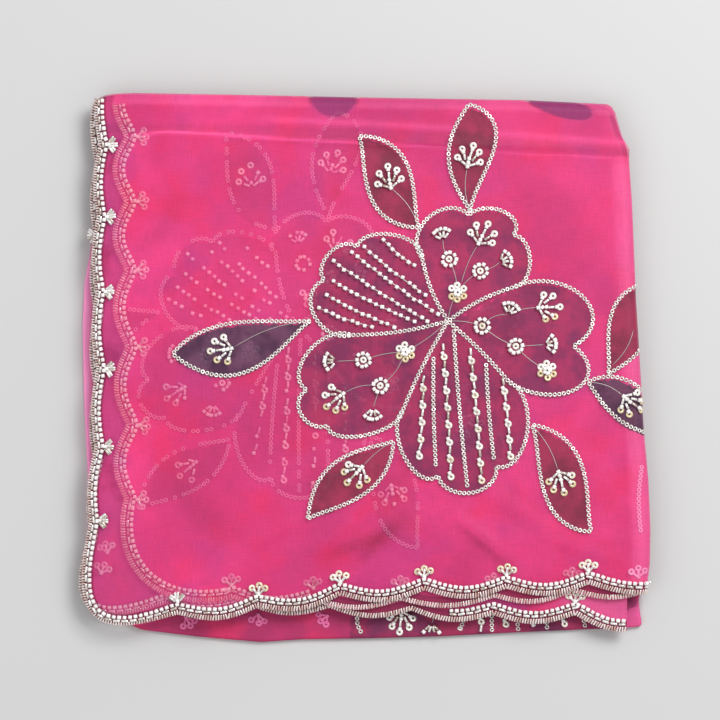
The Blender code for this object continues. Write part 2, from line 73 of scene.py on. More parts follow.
# Each cloth layer: its scallops, whose points are where two of them meet on the cord's outer side
LAYERS = {
    "top": {
        "level": 0,
        "left_x": (-142.5, -142.5, -143.5, -144.2, -143.8, -144.5, -147.5),
        "left_y": (159, 119.6, 81, 40.9, -0.3, -42, -81.6),
        "left_bulge": 2.4,
        "front_x": (-100.3, -57, -13.1, 31.8, 75.7, 119.6, 171),
        "front_y": (-131.9, -128.1, -121.7, -119, -118, -115.8, -117),
        "front_bulge": 5.0,
        "corner_power": 4.0,
        "corner_swell": (7.2, 9.6),
        "curls": True,
        "hidden_rows": (FAR, FAR),
        "bead_height": 1.0,
    },
    "second": {
        "level": 1,
        "left_x": (-129, -129, -129, -129, -128.5, -128, -129),
        "left_y": (159, 123.9, 89.1, 52.7, 11.5, -30.5, -70.4),
        "left_bulge": 6.4,
        "front_x": (-71.4, -27.6, 19, 69.3, 111, 155),
        "front_y": (-123.5, -125, -124.5, -123, -120, -118.5),
        "front_bulge": 4.8,
        "corner_power": 2.5,
        "corner_swell": (5.0, 5.0),
        "curls": False,
        "hidden_rows": (-30, FAR),
        "bead_height": 0.7,
    },
    "third": {
        "level": 2,
        "left_x": (-144.8, -144.8, -145, -145.2, -145.2, -145.6, -148),
        "left_y": (149, 110, 70, 30, -10, -50, -88),
        "left_bulge": 2.4,
        "front_x": (-107, -63, -19, 24.9, 68.7, 112.6, 153),
        "front_y": (-126.5, -127, -128.5, -130, -132.4, -132.4, -140),
        "front_bulge": 4.8,
        "corner_power": 4.0,
        "corner_swell": (8.6, 9.5),
        "curls": True,
        "hidden_rows": (-60, 45),
        "bead_height": 0.8,
    },
}
EDGE_MEETS_RIGHT_Y = -118
EDGE_MEETS_TOP_X = -141
THIRD_RIGHT = 140.4
LOWER_INSET = 4.0
SCALLOP_STEPS = 30
CORNER_STEPS = 80

# Soft creases in the top panel: both ends, half width and height
CREASES = {
    "start": ((-122, 125.5), (46, -76), (-30, -102), (-11, -104), (-63, -99), (140, -30), (-60, 40),
              (60, -60), (-110, -40), (-20, 118), (95, 40), (-95, 90), (-40, -93), (-71, -80),
              (-112, -100), (96, -92)),
    "end": ((130, 117), (74, -100), (-6, -80), (13, -82), (-33, -79), (142.5, -100), (-20, 66),
            (108, -95), (-72, -12), (40, 96), (128, 66), (-60, 104), (-52, -113), (-74, -104),
            (-84, -78), (138, -104)),
    "half_width": (4.5, 6.5, 6, 6, 7, 4, 10, 9, 10, 10, 9, 9, 6, 6, 9, 7),
    "height": (1.3, 1.1, 1.0, 0.9, 1.0, 0.7, 0.6, 0.8, 0.6, 0.6, 0.7, 0.5, 0.7, 0.5, 0.5, 0.6),
}
# Where painted highlights run: along the crease below the top fold, and a second, fainter line above it; the
# band between them is darker
LONG_CREASE = {
    "x": (-125, -106, -81, -35, -8, 30, 83, 142),
    "y": (124.7, 126.3, 125.2, 121.8, 120.8, 118.4, 114.8, 112),
}
FAINT_CREASE = {"x": (-60, -45, 0, 44, 74, 142), "y": (133.2, 132.8, 131, 128.5, 125.4, 120.6)}

# The flower, in millimetres from its centre
FLOWER_CENTRE = np.array((44.4, 25.1))
# Petals, counter-clockwise from the right one: the points where lobes meet, how far each lobe stands out,
# and how far it leans towards its end. side_bow is how far the line from the centre to a petal's last
# point bows to its left.
PETALS = {
    "points": (((32.6, -32.6), (67, -13.3), (35.3, 18.3)),
               ((35.3, 18.3), (34.8, 46), (11.2, 56.7), (-13.9, 34)),
               ((-13.9, 34), (-48.7, 39.6), (-66.1, 21.9), (-51.9, -7.5)),
               ((-51.9, -7.5), (-75.4, -36.9), (-64.5, -55.9), (-24.3, -47.9)),
               ((-24.3, -47.9), (-5.4, -82.7), (25.7, -77.8), (32.6, -32.6))),
    "bulge": ((20.8, 22.3), (8.8, 9.4, 13.6), (9.6, 8.3, 13.2), (12.3, 9.3, 9), (11, 11.8, 13.7)),
    "lean": ((0.25, -0.17), (0, -0.12, 0), (0, 0, -0.06), (0.07, -0.05, -0.05), (0.08, 0.02, -0.05)),
    "side_bow": (2.0, 2.0, 1.9, -1.2, 1.1),
}
# Leaves: for both sides, the greatest width and the share of the way to the tip where it lies
LEAVES = {
    "base": ((-73.3, 0.3), (-15.5, 50.3), (12, 58.3), (85.6, -28.2), (74.9, -32.6), (44.9, -55.6),
             (-29.4, -64.2)),
    "tip": ((-147.2, -17.7), (-47.6, 98.7), (10.8, 115.7), (119.9, 21.4), (125.7, -62.1), (76.7, -112.3),
            (-75.1, -105.9)),
    "left_width": (18.7, 13.3, 11.1, 18, 11.5, 13.3, 10.9),
    "left_peak": (0.58, 0.38, 0.52, 0.58, 0.36, 0.39, 0.40),
    "right_width": (8.9, 13.6, 14.6, 7.5, 9.3, 12.8, 12.6),
    "right_peak": (0.63, 0.62, 0.72, 0.45, 0.50, 0.66, 0.55),
    "dark": (True, False, False, False, True, False, False),
}
LEAF_FULLNESS = 2.3
SPRAYS = {
    "at": ((-115.7, -14.6), (-30.6, 71.3), (10.4, 82.7), (94.1, -40.3), (59.1, -80.6), (-46, -78),
           (16.3, 41.5), (48.3, 7.2), (-55.9, -38.7)),
    "facing": (190, 101, 78, -42, -74, 228, 64, 5, 215),
}
FANS = {
    "at": ((-2.7, 43.4), (27.9, 31.7), (32.3, 3.7), (51.7, -12.6), (-60, -21.5), (-40.1, -46.4)),
    "facing": (101, 21, 68, 6, 180, 268),
}
ROSETTES = ((0.6, 33.1), (17.3, 26.9), (18.2, -2.6), (36.2, -13.5), (-45.3, -20.8), (-36.2, -34.6))
DAISIES = ((5.1, 15.4), (53.0, -26.4), (-22.9, -16.5))
# Threads that join the motifs: where each one starts and ends, and how far it bows to its left
STEMS = {
    "start": ((0, 0), (5.1, 15.4), (0.6, 33.1), (5.1, 15.4), (17.3, 26.9), (7, 20), (0, 0), (18.2, -2.6),
              (18.2, -2.6), (36.2, -13.5), (36.2, -13.5), (32.3, 3.7), (0, 0), (-22.9, -16.5), (-45.3, -20.8),
              (-22.9, -16.5), (-36.2, -34.6), (-36.2, -34.6), (-73.3, 0.3), (-15.5, 50.3), (12, 58.3),
              (74.9, -32.6), (44.9, -55.6), (-29.4, -64.2), (87.5, -23.9)),
    "end": ((5.1, 15.4), (0.6, 33.1), (-2.7, 43.4), (17.3, 26.9), (27.9, 31.7), (16.3, 41.5), (18.2, -2.6),
            (32.3, 3.7), (36.2, -13.5), (51.7, -12.6), (53, -26.4), (48.3, 7.2), (-22.9, -16.5),
            (-45.3, -20.8), (-60, -21.5), (-36.2, -34.6), (-40.1, -46.4), (-55.9, -38.7), (-115.7, -14.6),
            (-30.6, 71.3), (10.4, 82.7), (94.1, -40.3), (59.1, -80.6), (-46, -78), (99.5, -4)),
    "bow": (1, -1, 1, 1, -1, 1, 1, 2, -1, 0, -1, 1, 1, -1, 0, 2, 0, -2, -3, -2, 2, 2, 2, -1, -2),
}
# The upper left petal's bead rows, from the outer end inwards
BEAD_ROWS = {
    "start": ((-34.7, 43.6), (-44.5, 39.4), (-51.4, 36.8), (-61.2, 32.1), (-61.4, 21.2), (-64.9, 13.8),
              (-69, 7)),
    "end": ((-17.8, 29.6), (-12.1, 14), (-5.7, 3.9), (-11, -0.1), (-18.2, -0.2), (-28.9, -2.9), (-40.8, -3)),
}
# The lower petal's columns, each from near the centre to the outer edge
SEQUIN_COLUMNS = {
    "start": ((-7.8, -19), (3, -4.3), (20.3, -22.3)),
    "end": ((-6.5, -77.8), (10.4, -89), (24.6, -74.1)),
}
BEAD_COLUMNS = {
    "start": ((-13.1, -28.8), (-2.7, -11.7), (11.9, -14.1), (29.3, -30.5)),
    "end": ((-15.4, -74), (1.7, -85), (18.2, -87), (33.7, -74)),
}
# Each flower that shows: how far it is turned, in degrees, and where its centre lies
FLOWER_ON = {
    "top": (0.0, FLOWER_CENTRE),
    "second": (-5.5, FLOWER_CENTRE + np.array((-81.5, -2.1))),
    "under": (0.0, FLOWER_CENTRE + np.array((31.5, -116))),
}
# Part of a leaf's outline that shows through at the right fold
FOLD_LEAF = ((148.2, -52), (147.6, -88))
# Print of lower layers that shows through the top panel: middle, half length and width, tilt and depth
FOLDED_PRINT = (
    ((-16.6, 145.5), (13, 12), 10, 1.7),
    ((104, 141), (19, 6.5), -19, 2.1),
    ((150, 8), (14, 20), 0, 0.5),
    ((75, -68), (14, 5), -70, 0.45),
    ((66, -86), (9, 8), 0, 0.22),
    ((-44, -108), (16, 8), 0, 0.25),
)
# Painted shade and highlight along soft folds, darker or lighter: both ends, half width and strength
SOFT_FOLDS = {
    "start": ((-24, -102), (-5, -105), (52, -85), (48.7, -79.7), (-120, 60), (95, -60), (-104, -60)),
    "end": ((12, -88), (19, -81), (79, -108), (75.7, -102.5), (-95, 96), (112, -92), (-70, -96)),
    "half_width": (4, 4, 3.5, 1.0, 6, 6, 8),
    "strength": (-1.0, -1.2, -1.1, 0.9, -0.6, 0.5, -0.6),
}
# The lowest fold's spray, which lies straighter than the flower's own
UNDER_SPRAY = np.array((19.6, -130.2))
# Tufts that show through cloth: the piece's name, its layer, and x, y and the way each faces
SUNKEN_TUFTS = (
    ("lowest_sunken", "under", ((-57.2, -132.2, 268), (-20, -133, 215), (-96, -134, 300))),
    ("third_sunken", "third", ((-138, -99, 100), (-141.5, -110, 70))),
)
# A tuft of the third layer that sticks out to the left
STRAY_TUFT = np.array((-143.8, 71.3))
# A tuft that shows through at the right fold
FOLD_TUFT = np.array((146.4, -112))

# Sizes of beads, sequins and thread
SEQUIN = 2.5
SEQUIN_PITCH = 2.46
LARGE_SEQUIN = 3.9
SEED = 2.15
SEED_PITCH = 2.9
BUGLE = 3.7
BUGLE_WIDTH = 1.45
WRAP_PITCH = 1.4
WRAP_WIDTH = 1.0
WRAP_SLANT = 84
THREAD = 0.4
ROW_THREAD = 0.7
PRINT_MISSES = np.array((-0.5, -1.5))
# How far in from the edge the border's rows lie, and how long its wound turns look: first where the edge
# curls down at the left, then where it lies flat
BORDER = {"wrap": (0.95, 1.45), "bugle": (2.4, 4.15), "seed": (4.3, 6.1), "wrap_length": (2.0, 2.75)}
BORDER_TOP = {"top": 145.4, "second": 144.5, "third": 143.0}
# Where the cloth's left edge starts to run in towards the top fold, and how fast
TAPER_FROM, CORNER_TAPER = 143.9, 1.5

# Spacing of the grids that carry cloth, and how far from an edge its printed and edge marks still change
FINE_GRID = 1.25
COARSE_GRID = 2.0
MARK_REACH = 6.0
EDGE_REACH = 30.0

# The hidden layers' left and front sides, and how far below the top they end
HIDDEN_LEFT, HIDDEN_FRONT = -142.5, -122.5
HIDDEN_DROP = 3 * LAYER_STEP + 0.7

# The camera's sensor and lens, in millimetres, and the width that the picture shows, in metres
SENSOR_WIDTH = 36
LENS = 300
PICTURE_WIDTH = 0.3852

# Node kinds used often, and the print's dark and bright colour and strength in each kind of motif
NOISE, STEP, MATH = "ShaderNodeTexNoise", "ShaderNodeMapRange", "ShaderNodeMath"
SMOOTH = {"interpolation_type": "SMOOTHSTEP"}
PRINTS = {
    "petal": ("#5e2248", "#9a2850", 0.85),
    "leaf": ("#6e2038", "#98294a", 0.95),
    "dark_leaf": ("#30203a", "#5c3a54", 0.97),
}


def turned(degrees):
    """Unit vectors at these angles."""
    radians = np.radians(degrees)
    return np.stack([np.cos(radians), np.sin(radians)], axis=-1)


def smooth(low, high, value):
    """0 below low, 1 above high, and an S-shaped rise between them."""
    share = np.clip((value - low) / (high - low), 0.0, 1.0)
    return share * share * (3 - 2 * share)


# Shape of the stack

def right_fold(y):
    return np.interp(y, RIGHT_FOLD["y"], RIGHT_FOLD["x"])


def top_fold(x):
    return np.interp(x, TOP_FOLD["x"], TOP_FOLD["y"])


def stack_height(points):
    """The stack's smooth top: a low cosine crown, less a droop towards each open edge."""
    x, y = points[:, 0], points[:, 1]
    crown = CROWN * np.cos(x * math.pi / 310) * np.cos(y * math.pi / 300)
    left = np.interp(x, LEFT_DROOP["x"], LEFT_DROOP["drop"])
    front = np.interp(y, FRONT_DROOP["y"], FRONT_DROOP["drop"])
    return TOP_HEIGHT + crown - left - front


def unit(vectors):
    """The same vectors at length 1."""
    return vectors / np.linalg.norm(vectors, axis=-1, keepdims=True)


def left_of(run):
    """The unit vector to the left of a run."""
    return unit(np.array((-run[1], run[0]), float))


def from_line(points, start, end):
    """Distance from the stretch between two points, and the share of the way along it."""
    run = np.subtract(end, start).astype(float)
    share = np.clip((points - start) @ run / max(run @ run, 1e-9), 0.0, 1.0)
    return np.hypot(*(points - start - share[:, None] * run).T), share


def soft_line(points, start, end, half_width, power):
    """A bell across a line, which fades towards the line's two ends."""
    away, share = from_line(points, start, end)
    return np.sin(math.pi * np.clip(share, 0.02, 0.98)) ** power * np.exp(-((away / half_width) ** 2))


def crease_height(points):
    """The soft ridges together."""
    rows = zip(*CREASES.values())
    return sum(tall * soft_line(points, start, end, 0.55 * wide, 0.6) for start, end, wide, tall in rows)


def ripple(points, seed, wave, tall):
    """Gentle unevenness: a sum of six sine waves in fixed, scattered directions."""
    chance = np.random.default_rng(seed)
    total = np.zeros(len(points))
    for _ in range(6):
        along = points @ turned(chance.uniform(0, 180))
        total += np.sin(along * 2 * math.pi / (wave * chance.uniform(0.6, 1.6)) + chance.uniform(0, 6))
    return tall * total / 6


def past_folds(flat):
    """How far past the start of the right and the top fold each flat point is."""
    start_x = right_fold(np.minimum(flat[:, 1], RIGHT_FOLD["y"][-1]))
    start_y = top_fold(np.minimum(flat[:, 0], RIGHT_FOLD["x"][-1] - FOLD_RADIUS))
    return np.maximum(flat - np.stack([start_x, start_y], axis=1) + FOLD_RADIUS, 0)


def turn_over_folds(flat):
    """Past each fold's start, a distance along the cloth becomes an angle round FOLD_RADIUS. Returns the
    plan positions and how far each point has dropped."""
    past = past_folds(flat)
    far = np.hypot(*past.T)
    angle = np.minimum(far / FOLD_RADIUS, FOLD_TURN)
    pull = np.where(far > 0, FOLD_RADIUS * np.sin(angle) / np.maximum(far, 1e-9) - 1.0, 0.0)
    return flat + past * pull[:, None], FOLD_RADIUS * (1 - np.cos(angle))


def lie(flat, layer):
    """Where a layer's flat points lie. The lowest fold is nearly level. The second and third panels follow
    the stack, and so does the top one, which is creased and turns down over the right and top folds."""
    if layer == "under":
        return np.column_stack([flat, UNDER_FOLD_HEIGHT + ripple(flat, 8, 70, 0.12)])
    if layer == "top":
        plan, drop = turn_over_folds(flat)
        raised = crease_height(flat) + ripple(flat, 5, 60, 0.18)
        return np.column_stack([plan, stack_height(plan) + raised - drop])
    return np.column_stack([flat, stack_height(flat) - LAYERS[layer]["level"] * LAYER_STEP])


def axes_on(flat, angle, layer):
    """Position, unit vectors along the given plan angle and to its left, and the normal, on a layer."""
    here, step = lie(flat, layer), 0.05
    along = turned(np.broadcast_to(angle, len(flat)))
    ahead = unit(lie(flat + step * along, layer) - here)
    aside = lie(flat + step * along[:, ::-1] * (-1, 1), layer) - here
    normal = unit(np.cross(ahead, aside))
    return here, ahead, np.cross(normal, ahead), normal


# Outlines

def bowed(start, end, bow, count=9):
    """A half sine wave from start to end that bows to its left."""
    run = np.subtract(end, start).astype(float)
    share = np.linspace(0, 1, count)[:, None]
    return start + share * run + bow * np.sin(math.pi * share) * left_of(run)


def scallop_run(xs, ys, bulge):
    """Half sine waves between neighbouring points, standing out to the right of the run."""
    cusps = list(zip(xs, ys))
    waves = [bowed(start, end, -bulge, SCALLOP_STEPS + 1)[:-1] for start, end in zip(cusps, cusps[1:])]
    return np.vstack([*waves, cusps[-1:]])


def corner_scallop(start, end, power, swell):
    """A quarter superellipse between two scallops, which stands out most at its middle."""
    centre = np.array((end[0], start[1]))
    share = np.linspace(0.0, 1.0, CORNER_STEPS + 1)[1:-1]
    eased = np.where(share < 0.5, 2 * share**2, 1 - 2 * (1 - share) ** 2)
    angle = eased * math.pi / 2
    stand_out = np.sqrt(np.sin(2 * angle))
    radius_x = centre[0] - start[0] + swell[0] * stand_out
    radius_y = centre[1] - end[1] + swell[1] * stand_out
    x = centre[0] - radius_x * np.cos(angle) ** (2 / power)
    y = centre[1] - radius_y * np.sin(angle) ** (2 / power)
    return np.stack([x, y], axis=1)


def edge_path(layer):
    """The outer side of a layer's open edge: down the left, round the corner and along the front."""
    row = LAYERS[layer]
    left = scallop_run(row["left_x"], row["left_y"], row["left_bulge"])
    front = scallop_run(row["front_x"], row["front_y"], row["front_bulge"])
    corner = corner_scallop(left[-1], front[0], row["corner_power"], row["corner_swell"])
    return np.vstack([left, corner, front])


def headings(run):
    """The directions of these vectors, in degrees."""
    return np.degrees(np.arctan2(run[:, 1], run[:, 0]))


def inset_path(path, distance):
    """The path moved to its left by distance, which may differ from point to point."""
    return path + distance * turned(headings(np.gradient(path, axis=0)) + 90)


def walk(path):
    """A path's length, and a function that gives the places at distances along it."""
    along = np.concatenate([[0.0], np.cumsum(np.hypot(*np.diff(path, axis=0).T))])
    return along[-1], lambda at: np.stack([np.interp(at, along, column) for column in path.T], axis=1)


def spaced(path, pitch, to_ends=False):
    """Points every pitch along a path, with the direction of travel at each. They start half a pitch in, or
    at the very end."""
    length, place = walk(path)
    count = max(1, int(round(length / pitch)))
    at = length * (np.linspace(0, 1, count + 1) if to_ends else (np.arange(count) + 0.5) / count)
    return place(at), headings(place(at + 0.1) - place(at - 0.1))


def layer_limits(layer):
    """The x and y where a layer ends at the right and at the top, on the flat cloth."""
    right, top = right_fold(EDGE_MEETS_RIGHT_Y), top_fold(EDGE_MEETS_TOP_X)
    if layer == "top":
        return right - FOLD_RADIUS + FOLD_REACH, top - FOLD_RADIUS + FOLD_REACH
    if layer == "third":
        return THIRD_RIGHT, top - LOWER_INSET
    return right - LOWER_INSET, top - LOWER_INSET


def clipped(path, layer):
    """The stretch of an edge path that the layer has."""
    right, top = layer_limits(layer)
    return path[(path[:, 0] <= right) & (path[:, 1] <= top)]


def signed_distance(points, outline):
    """How far inside a closed outline each point is. It is negative outside."""
    nearest = np.full(len(points), np.inf)
    crossings = np.zeros(len(points), int)
    for start, end in zip(outline, np.roll(outline, -1, axis=0)):
        nearest = np.minimum(nearest, from_line(points, start, end)[0])
        if start[1] != end[1]:
            spans = (start[1] > points[:, 1]) != (end[1] > points[:, 1])
            share = (points[:, 1] - start[1]) / (end[1] - start[1])
            crossings += spans & (points[:, 0] < start[0] + share * (end[0] - start[0]))
    return np.where(crossings % 2 == 1, nearest, -nearest)


# The flower's outlines

def petal_lobes(petal):
    """A petal's outer edge: each lobe is a half ellipse on the line between two points, pushed along it in
    proportion to its height where it leans."""
    points, bulges, leans = (PETALS[column][petal] for column in ("points", "bulge", "lean"))
    turn = np.linspace(0, math.pi, 31)[:, None]
    lobes = []
    for start, end, bulge, lean in zip(points, points[1:], bulges, leans):
        run = np.subtract(end, start)
        forward = (1 - np.cos(turn)) / 2 + lean * np.sin(turn)
        lobes.append(start + forward * run - bulge * np.sin(turn) * left_of(run))
    return lobes


def leaf_side(leaf, side):
    """A leaf's left or right side from base to tip: its width rises and falls as a product of powers that
    peaks at the given share."""
    base, run = np.array(LEAVES["base"][leaf]), np.subtract(LEAVES["tip"][leaf], LEAVES["base"][leaf])
    width, peak = LEAVES[side + "_width"][leaf], LEAVES[side + "_peak"][leaf]
    share = (1 - np.cos(np.linspace(0, math.pi, 41)))[:, None] / 2
    rise = (share / peak) ** (LEAF_FULLNESS * peak)
    fall = ((1 - share) / (1 - peak)) ** (LEAF_FULLNESS * (1 - peak))
    return base + share * run + width * rise * fall * left_of(run) * (1 if side == "left" else -1)


def leaf_outline(leaf):
    return np.vstack([leaf_side(leaf, "left"), leaf_side(leaf, "right")[-2:0:-1]])


# Stitches, as flat positions from the flower's centre

def stitch_rows(points, *values):
    """A row for each point: its place, then the values, each of which may be one for all."""
    points = np.atleast_2d(points)
    return np.column_stack([points, *(np.broadcast_to(value, len(points)) for value in values)])


class Stitches:
    """Everything sewn on one layer: positions, plan angles, sizes and tones, gathered in lists."""

    def __init__(self):
        self.sequins, self.seeds, self.bugles, self.threads = [], [], [], []

    def add_sequins(self, points, size=SEQUIN, gold=0.0):
        """gold runs from 0, silver, to 1, pale gold."""
        points = np.atleast_2d(points)
        tones = np.clip(gold + RANDOM.uniform(-0.1, 0.3, len(points)), 0, 1)
        self.sequins.append(stitch_rows(points, size, tones))

    def add_sequin_line(self, path):
        self.add_sequins(spaced(path, SEQUIN_PITCH)[0])

    def add_seeds(self, points, angles):
        self.seeds.append(stitch_rows(points, angles))

    def add_bugles(self, middles, angles, length=BUGLE):
        self.bugles.append(stitch_rows(middles, angles, length))

    def add_thread(self, path, width=THREAD):
        self.threads.append((path, width))


def goldness(degrees):
    """The lower sequins of a motif are pale gold, and the upper ones silver."""
    return smooth(0.2, -0.5, np.sin(np.radians(degrees)))


def add_spray(sewn, base, facing):
    """Five bugles fanned from three beads in a row, each with a bead and a large sequin at its tip."""
    for bend, reach in zip((-60, -30, 0, 30, 60), (7.4, 10.0, 11.6, 10.0, 7.4)):
        bend += RANDOM.uniform(-4, 4)
        way = turned(facing + bend)
        sewn.add_bugles(base + way * (reach - 4.6), facing + bend, BUGLE - 0.3)
        sewn.add_sequins(base + way * reach, LARGE_SEQUIN, goldness(facing + bend))
        sewn.add_seeds(base + way * (reach - 1.6), facing + bend)
    sewn.add_seeds(base + np.array((0, 2.2, 4.4))[:, None] * turned(facing), facing + 15)


def add_fan(sewn, base, facing):
    """Five beads on an arc, with four short bugles that spread to them from the stem."""
    arc = np.array((-43, -21, 0, 21, 43)) + RANDOM.uniform(-2, 2, 5)
    sewn.add_seeds(base + 6.1 * turned(facing + arc), facing + arc + 90)
    rays = np.array((-50, -16, 17, 50)) + RANDOM.uniform(-4, 4, 4)
    sewn.add_bugles(base + 3.0 * turned(facing + rays), facing + rays, 3.3)


def add_rosette(sewn, at):
    """Nine beads round one sequin, a little unevenly."""
    around = np.arange(9) * 40.0 + RANDOM.uniform(0, 40) + RANDOM.uniform(-5, 5, 9)
    reach = 3.6 + RANDOM.uniform(-0.25, 0.25, (9, 1))
    sewn.add_seeds(at + reach * turned(around), around + 90)
    sewn.add_sequins(at, LARGE_SEQUIN, 0.4)


def add_daisy(sewn, at):
    """Six large sequins round a cluster of beads."""
    around = np.arange(6) * 60.0 + 30 + RANDOM.uniform(-6, 6, 6)
    for angle in around:
        sewn.add_sequins(at + 3.8 * turned(angle), LARGE_SEQUIN, goldness(angle))
    sewn.add_seeds(at + 1.5 * turned(np.arange(5) * 72.0), np.arange(5) * 50.0)


def add_flower(sewn):
    """The whole flower: sequin outlines, then each petal's own filling, then the leaves and stems."""
    for petal, points in enumerate(PETALS["points"]):
        for line in (bowed((0, 0), points[-1], PETALS["side_bow"][petal]), *petal_lobes(petal)):
            sewn.add_sequin_line(line)
    for leaf in range(len(LEAVES["base"])):
        for side in ("left", "right"):
            sewn.add_sequin_line(leaf_side(leaf, side))
    for start, end in zip(*BEAD_ROWS.values()):
        row = bowed(start, end, -0.8)
        points, angles = spaced(row, 3.75, to_ends=True)
        sewn.add_seeds(points + RANDOM.normal(0, 0.25, points.shape), angles + 12)
        sewn.add_thread(row, ROW_THREAD)
    for start, end in zip(*SEQUIN_COLUMNS.values()):
        sewn.add_sequin_line(bowed(start, end, -0.6))
    for start, end in zip(*BEAD_COLUMNS.values()):
        column = bowed(start, end, 0.5)
        points, angles = spaced(column, 9.4)
        sewn.add_bugles(points - 2.5 * turned(angles), angles + RANDOM.uniform(-5, 5), 3.6)
        sewn.add_sequins(points + 2.9 * turned(angles), LARGE_SEQUIN, 0.45)
        sewn.add_seeds(points + 1.1 * turned(angles - 40), angles + 20)
        sewn.add_thread(column, ROW_THREAD)
    for add, motifs in ((add_spray, SPRAYS), (add_fan, FANS)):
        for base, facing in zip(*motifs.values()):
            add(sewn, np.array(base), facing)
    for add, places in ((add_rosette, ROSETTES), (add_daisy, DAISIES)):
        for at in places:
            add(sewn, np.array(at))
    for start, end, bow in zip(*STEMS.values()):
        sewn.add_thread(bowed(start, end, bow))


def add_tuft(sewn, cusp, facing, with_sequins):
    """A tuft on a scallop's point: three bugles over three large sequins like a clover leaf, or three pairs
    of bugles."""
    for bend in (-46, 0, 46):
        bend += RANDOM.uniform(-5, 5)
        way = turned(facing + bend)
        if with_sequins:
            sewn.add_bugles(cusp + way * 2.7, facing + bend, 3.9)
            sewn.add_sequins(cusp + way * 4.8, LARGE_SEQUIN, 0.6)
        else:
            beside = 0.65 * turned(facing + bend + 90)
            sewn.add_bugles([cusp + way * 3.1 + beside, cusp + way * 3.1 - beside], facing + bend, 4.1)
    sewn.add_seeds(cusp + turned(facing) * 0.3, facing)


def toward_front(points, layer):
    """1 where the edge lies flat, and 0 at the left side of a layer whose edge curls down there."""
    if not LAYERS[layer]["curls"]:
        return np.ones(len(points))
    return smooth(-125, -85, points[:, 0]) * smooth(-80, -100, points[:, 1])


def across_border(kind, points, layer):
    """A border measure at each of these points."""
    curled, lying = BORDER[kind]
    return curled + (lying - curled) * toward_front(points, layer)


def edge_row(layer, kind):
    """The path of one of the border's rows."""
    path = edge_path(layer)
    row = inset_path(path, across_border(kind, path, layer)[:, None])
    return clipped(row[row[:, 1] < BORDER_TOP[layer]], layer)


def add_border(sewn, layer):
    """Rows along the open edge: seed beads inside, then bugles, with a tuft at each scallop's point. Where a
    layer is tucked closely under the one above, only its wound edge comes out."""
    row = LAYERS[layer]
    low, high = row["hidden_rows"]
    for kind, pitch, add in (("seed", SEED_PITCH, sewn.add_seeds), ("bugle", BUGLE + 0.8, sewn.add_bugles)):
        points, angles = spaced(edge_row(layer, kind), pitch)
        shows = (points[:, 1] > -100) | (points[:, 0] < low) | (points[:, 0] > high)
        add(points[shows], angles[shows])
    right, top = layer_limits(layer)
    for x, y in zip(row["left_x"], row["left_y"]):
        cusp = np.array([(x, y)])
        inset = across_border("seed", cusp, layer)[0]
        if y < top - 3 and layer != "third":
            add_tuft(sewn, cusp[0] + (inset + 0.9, 0), RANDOM.uniform(-8, 8), not row["curls"])
    for x, y in zip(row["front_x"], row["front_y"]):
        if x < right - 3 and not (layer == "third" and low < x < 100):
            add_tuft(sewn, np.array((x, y + 7.0)), 90 + RANDOM.uniform(-6, 6), x > -95)


# Meshes

def put(name, points, faces, material, slot, attributes=None):
    """A piece from points in millimetres and faces, riding on the packet, at the origin."""
    mesh = bpy.data.meshes.new(name)
    shifted = np.array(points, float)
    shifted[:, :2] -= PACKET_MIDDLE
    mesh.from_pydata((shifted * MM).tolist(), [], faces.tolist())
    mesh.shade_smooth()
    for label, values in (attributes or {}).items():
        layer = mesh.attributes.new(label, "FLOAT", "POINT")
        layer.data.foreach_set("value", np.asarray(values, np.float32))
    mesh.materials.append(material)
    piece = add_object(name, mesh)
    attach(piece, "root")
    return piece


def lattice(rows, columns, rows_close=False, columns_close=True):
    """Quads of rows by columns points, where the last row or column may join the first."""
    row, column = np.indices((rows - 1 + rows_close, columns - 1 + columns_close)).reshape(2, -1)
    after, beside = (row + 1) % rows, (column + 1) % columns
    corners = ((row, column), (row, beside), (after, beside), (after, column))
    return np.stack([a * columns + b for a, b in corners], axis=1)


def ring(profile, sides):
    """A turned ring: a closed profile of (along, radius) carried round the axis, as factors of along,
    first side and second side, with its quads."""
    along, radius = np.array(profile).T
    around = turned(np.arange(sides) * 360 / sides)
    local = np.dstack([np.repeat(along[:, None], sides, axis=1), radius[:, None] * around[:, 0],
                       radius[:, None] * around[:, 1]])
    return local.reshape(-1, 3), lattice(len(profile), sides, rows_close=True)


def repeat(local, faces, origins, axes, sizes):
    """Copies of one small shape, each turned to its own three axes and scaled, as one mesh."""
    axes = np.stack(axes, axis=1) * np.broadcast_to(sizes, (len(origins), 3))[:, :, None]
    points = origins[:, None, :] + np.einsum("vk,nkx->nvx", local, axes)
    every = faces[None] + (np.arange(len(origins)) * len(local))[:, None, None]
    return points.reshape(-1, 3), every.reshape(-1, faces.shape[1])


def joined(parts):
    """Several meshes as one."""
    starts = np.cumsum([0, *(len(points) for points, _ in parts)])
    faces = [quads + start for (_, quads), start in zip(parts, starts)]
    return np.vstack([points for points, _ in parts]), np.vstack(faces)


SEQUIN_RING = ring(((-0.08, 0.22), (0.04, 0.20), (0.12, 0.35), (0.03, 0.5), (-0.08, 0.48)), 12)
LARGE_SEQUIN_RING = ring(((-0.03, 0.15), (0.03, 0.13), (0.07, 0.33), (0.02, 0.5), (-0.03, 0.49)), 16)
SEED_RING = ring(((-0.42, 0.18), (-0.48, 0.38), (-0.40, 0.5), (0.40, 0.5), (0.48, 0.38), (0.42, 0.18)), 8)
BUGLE_RING = ring(((-0.48, 0.24), (-0.5, 0.40), (-0.46, 0.5), (0.46, 0.5), (0.5, 0.40), (0.48, 0.24)), 7)


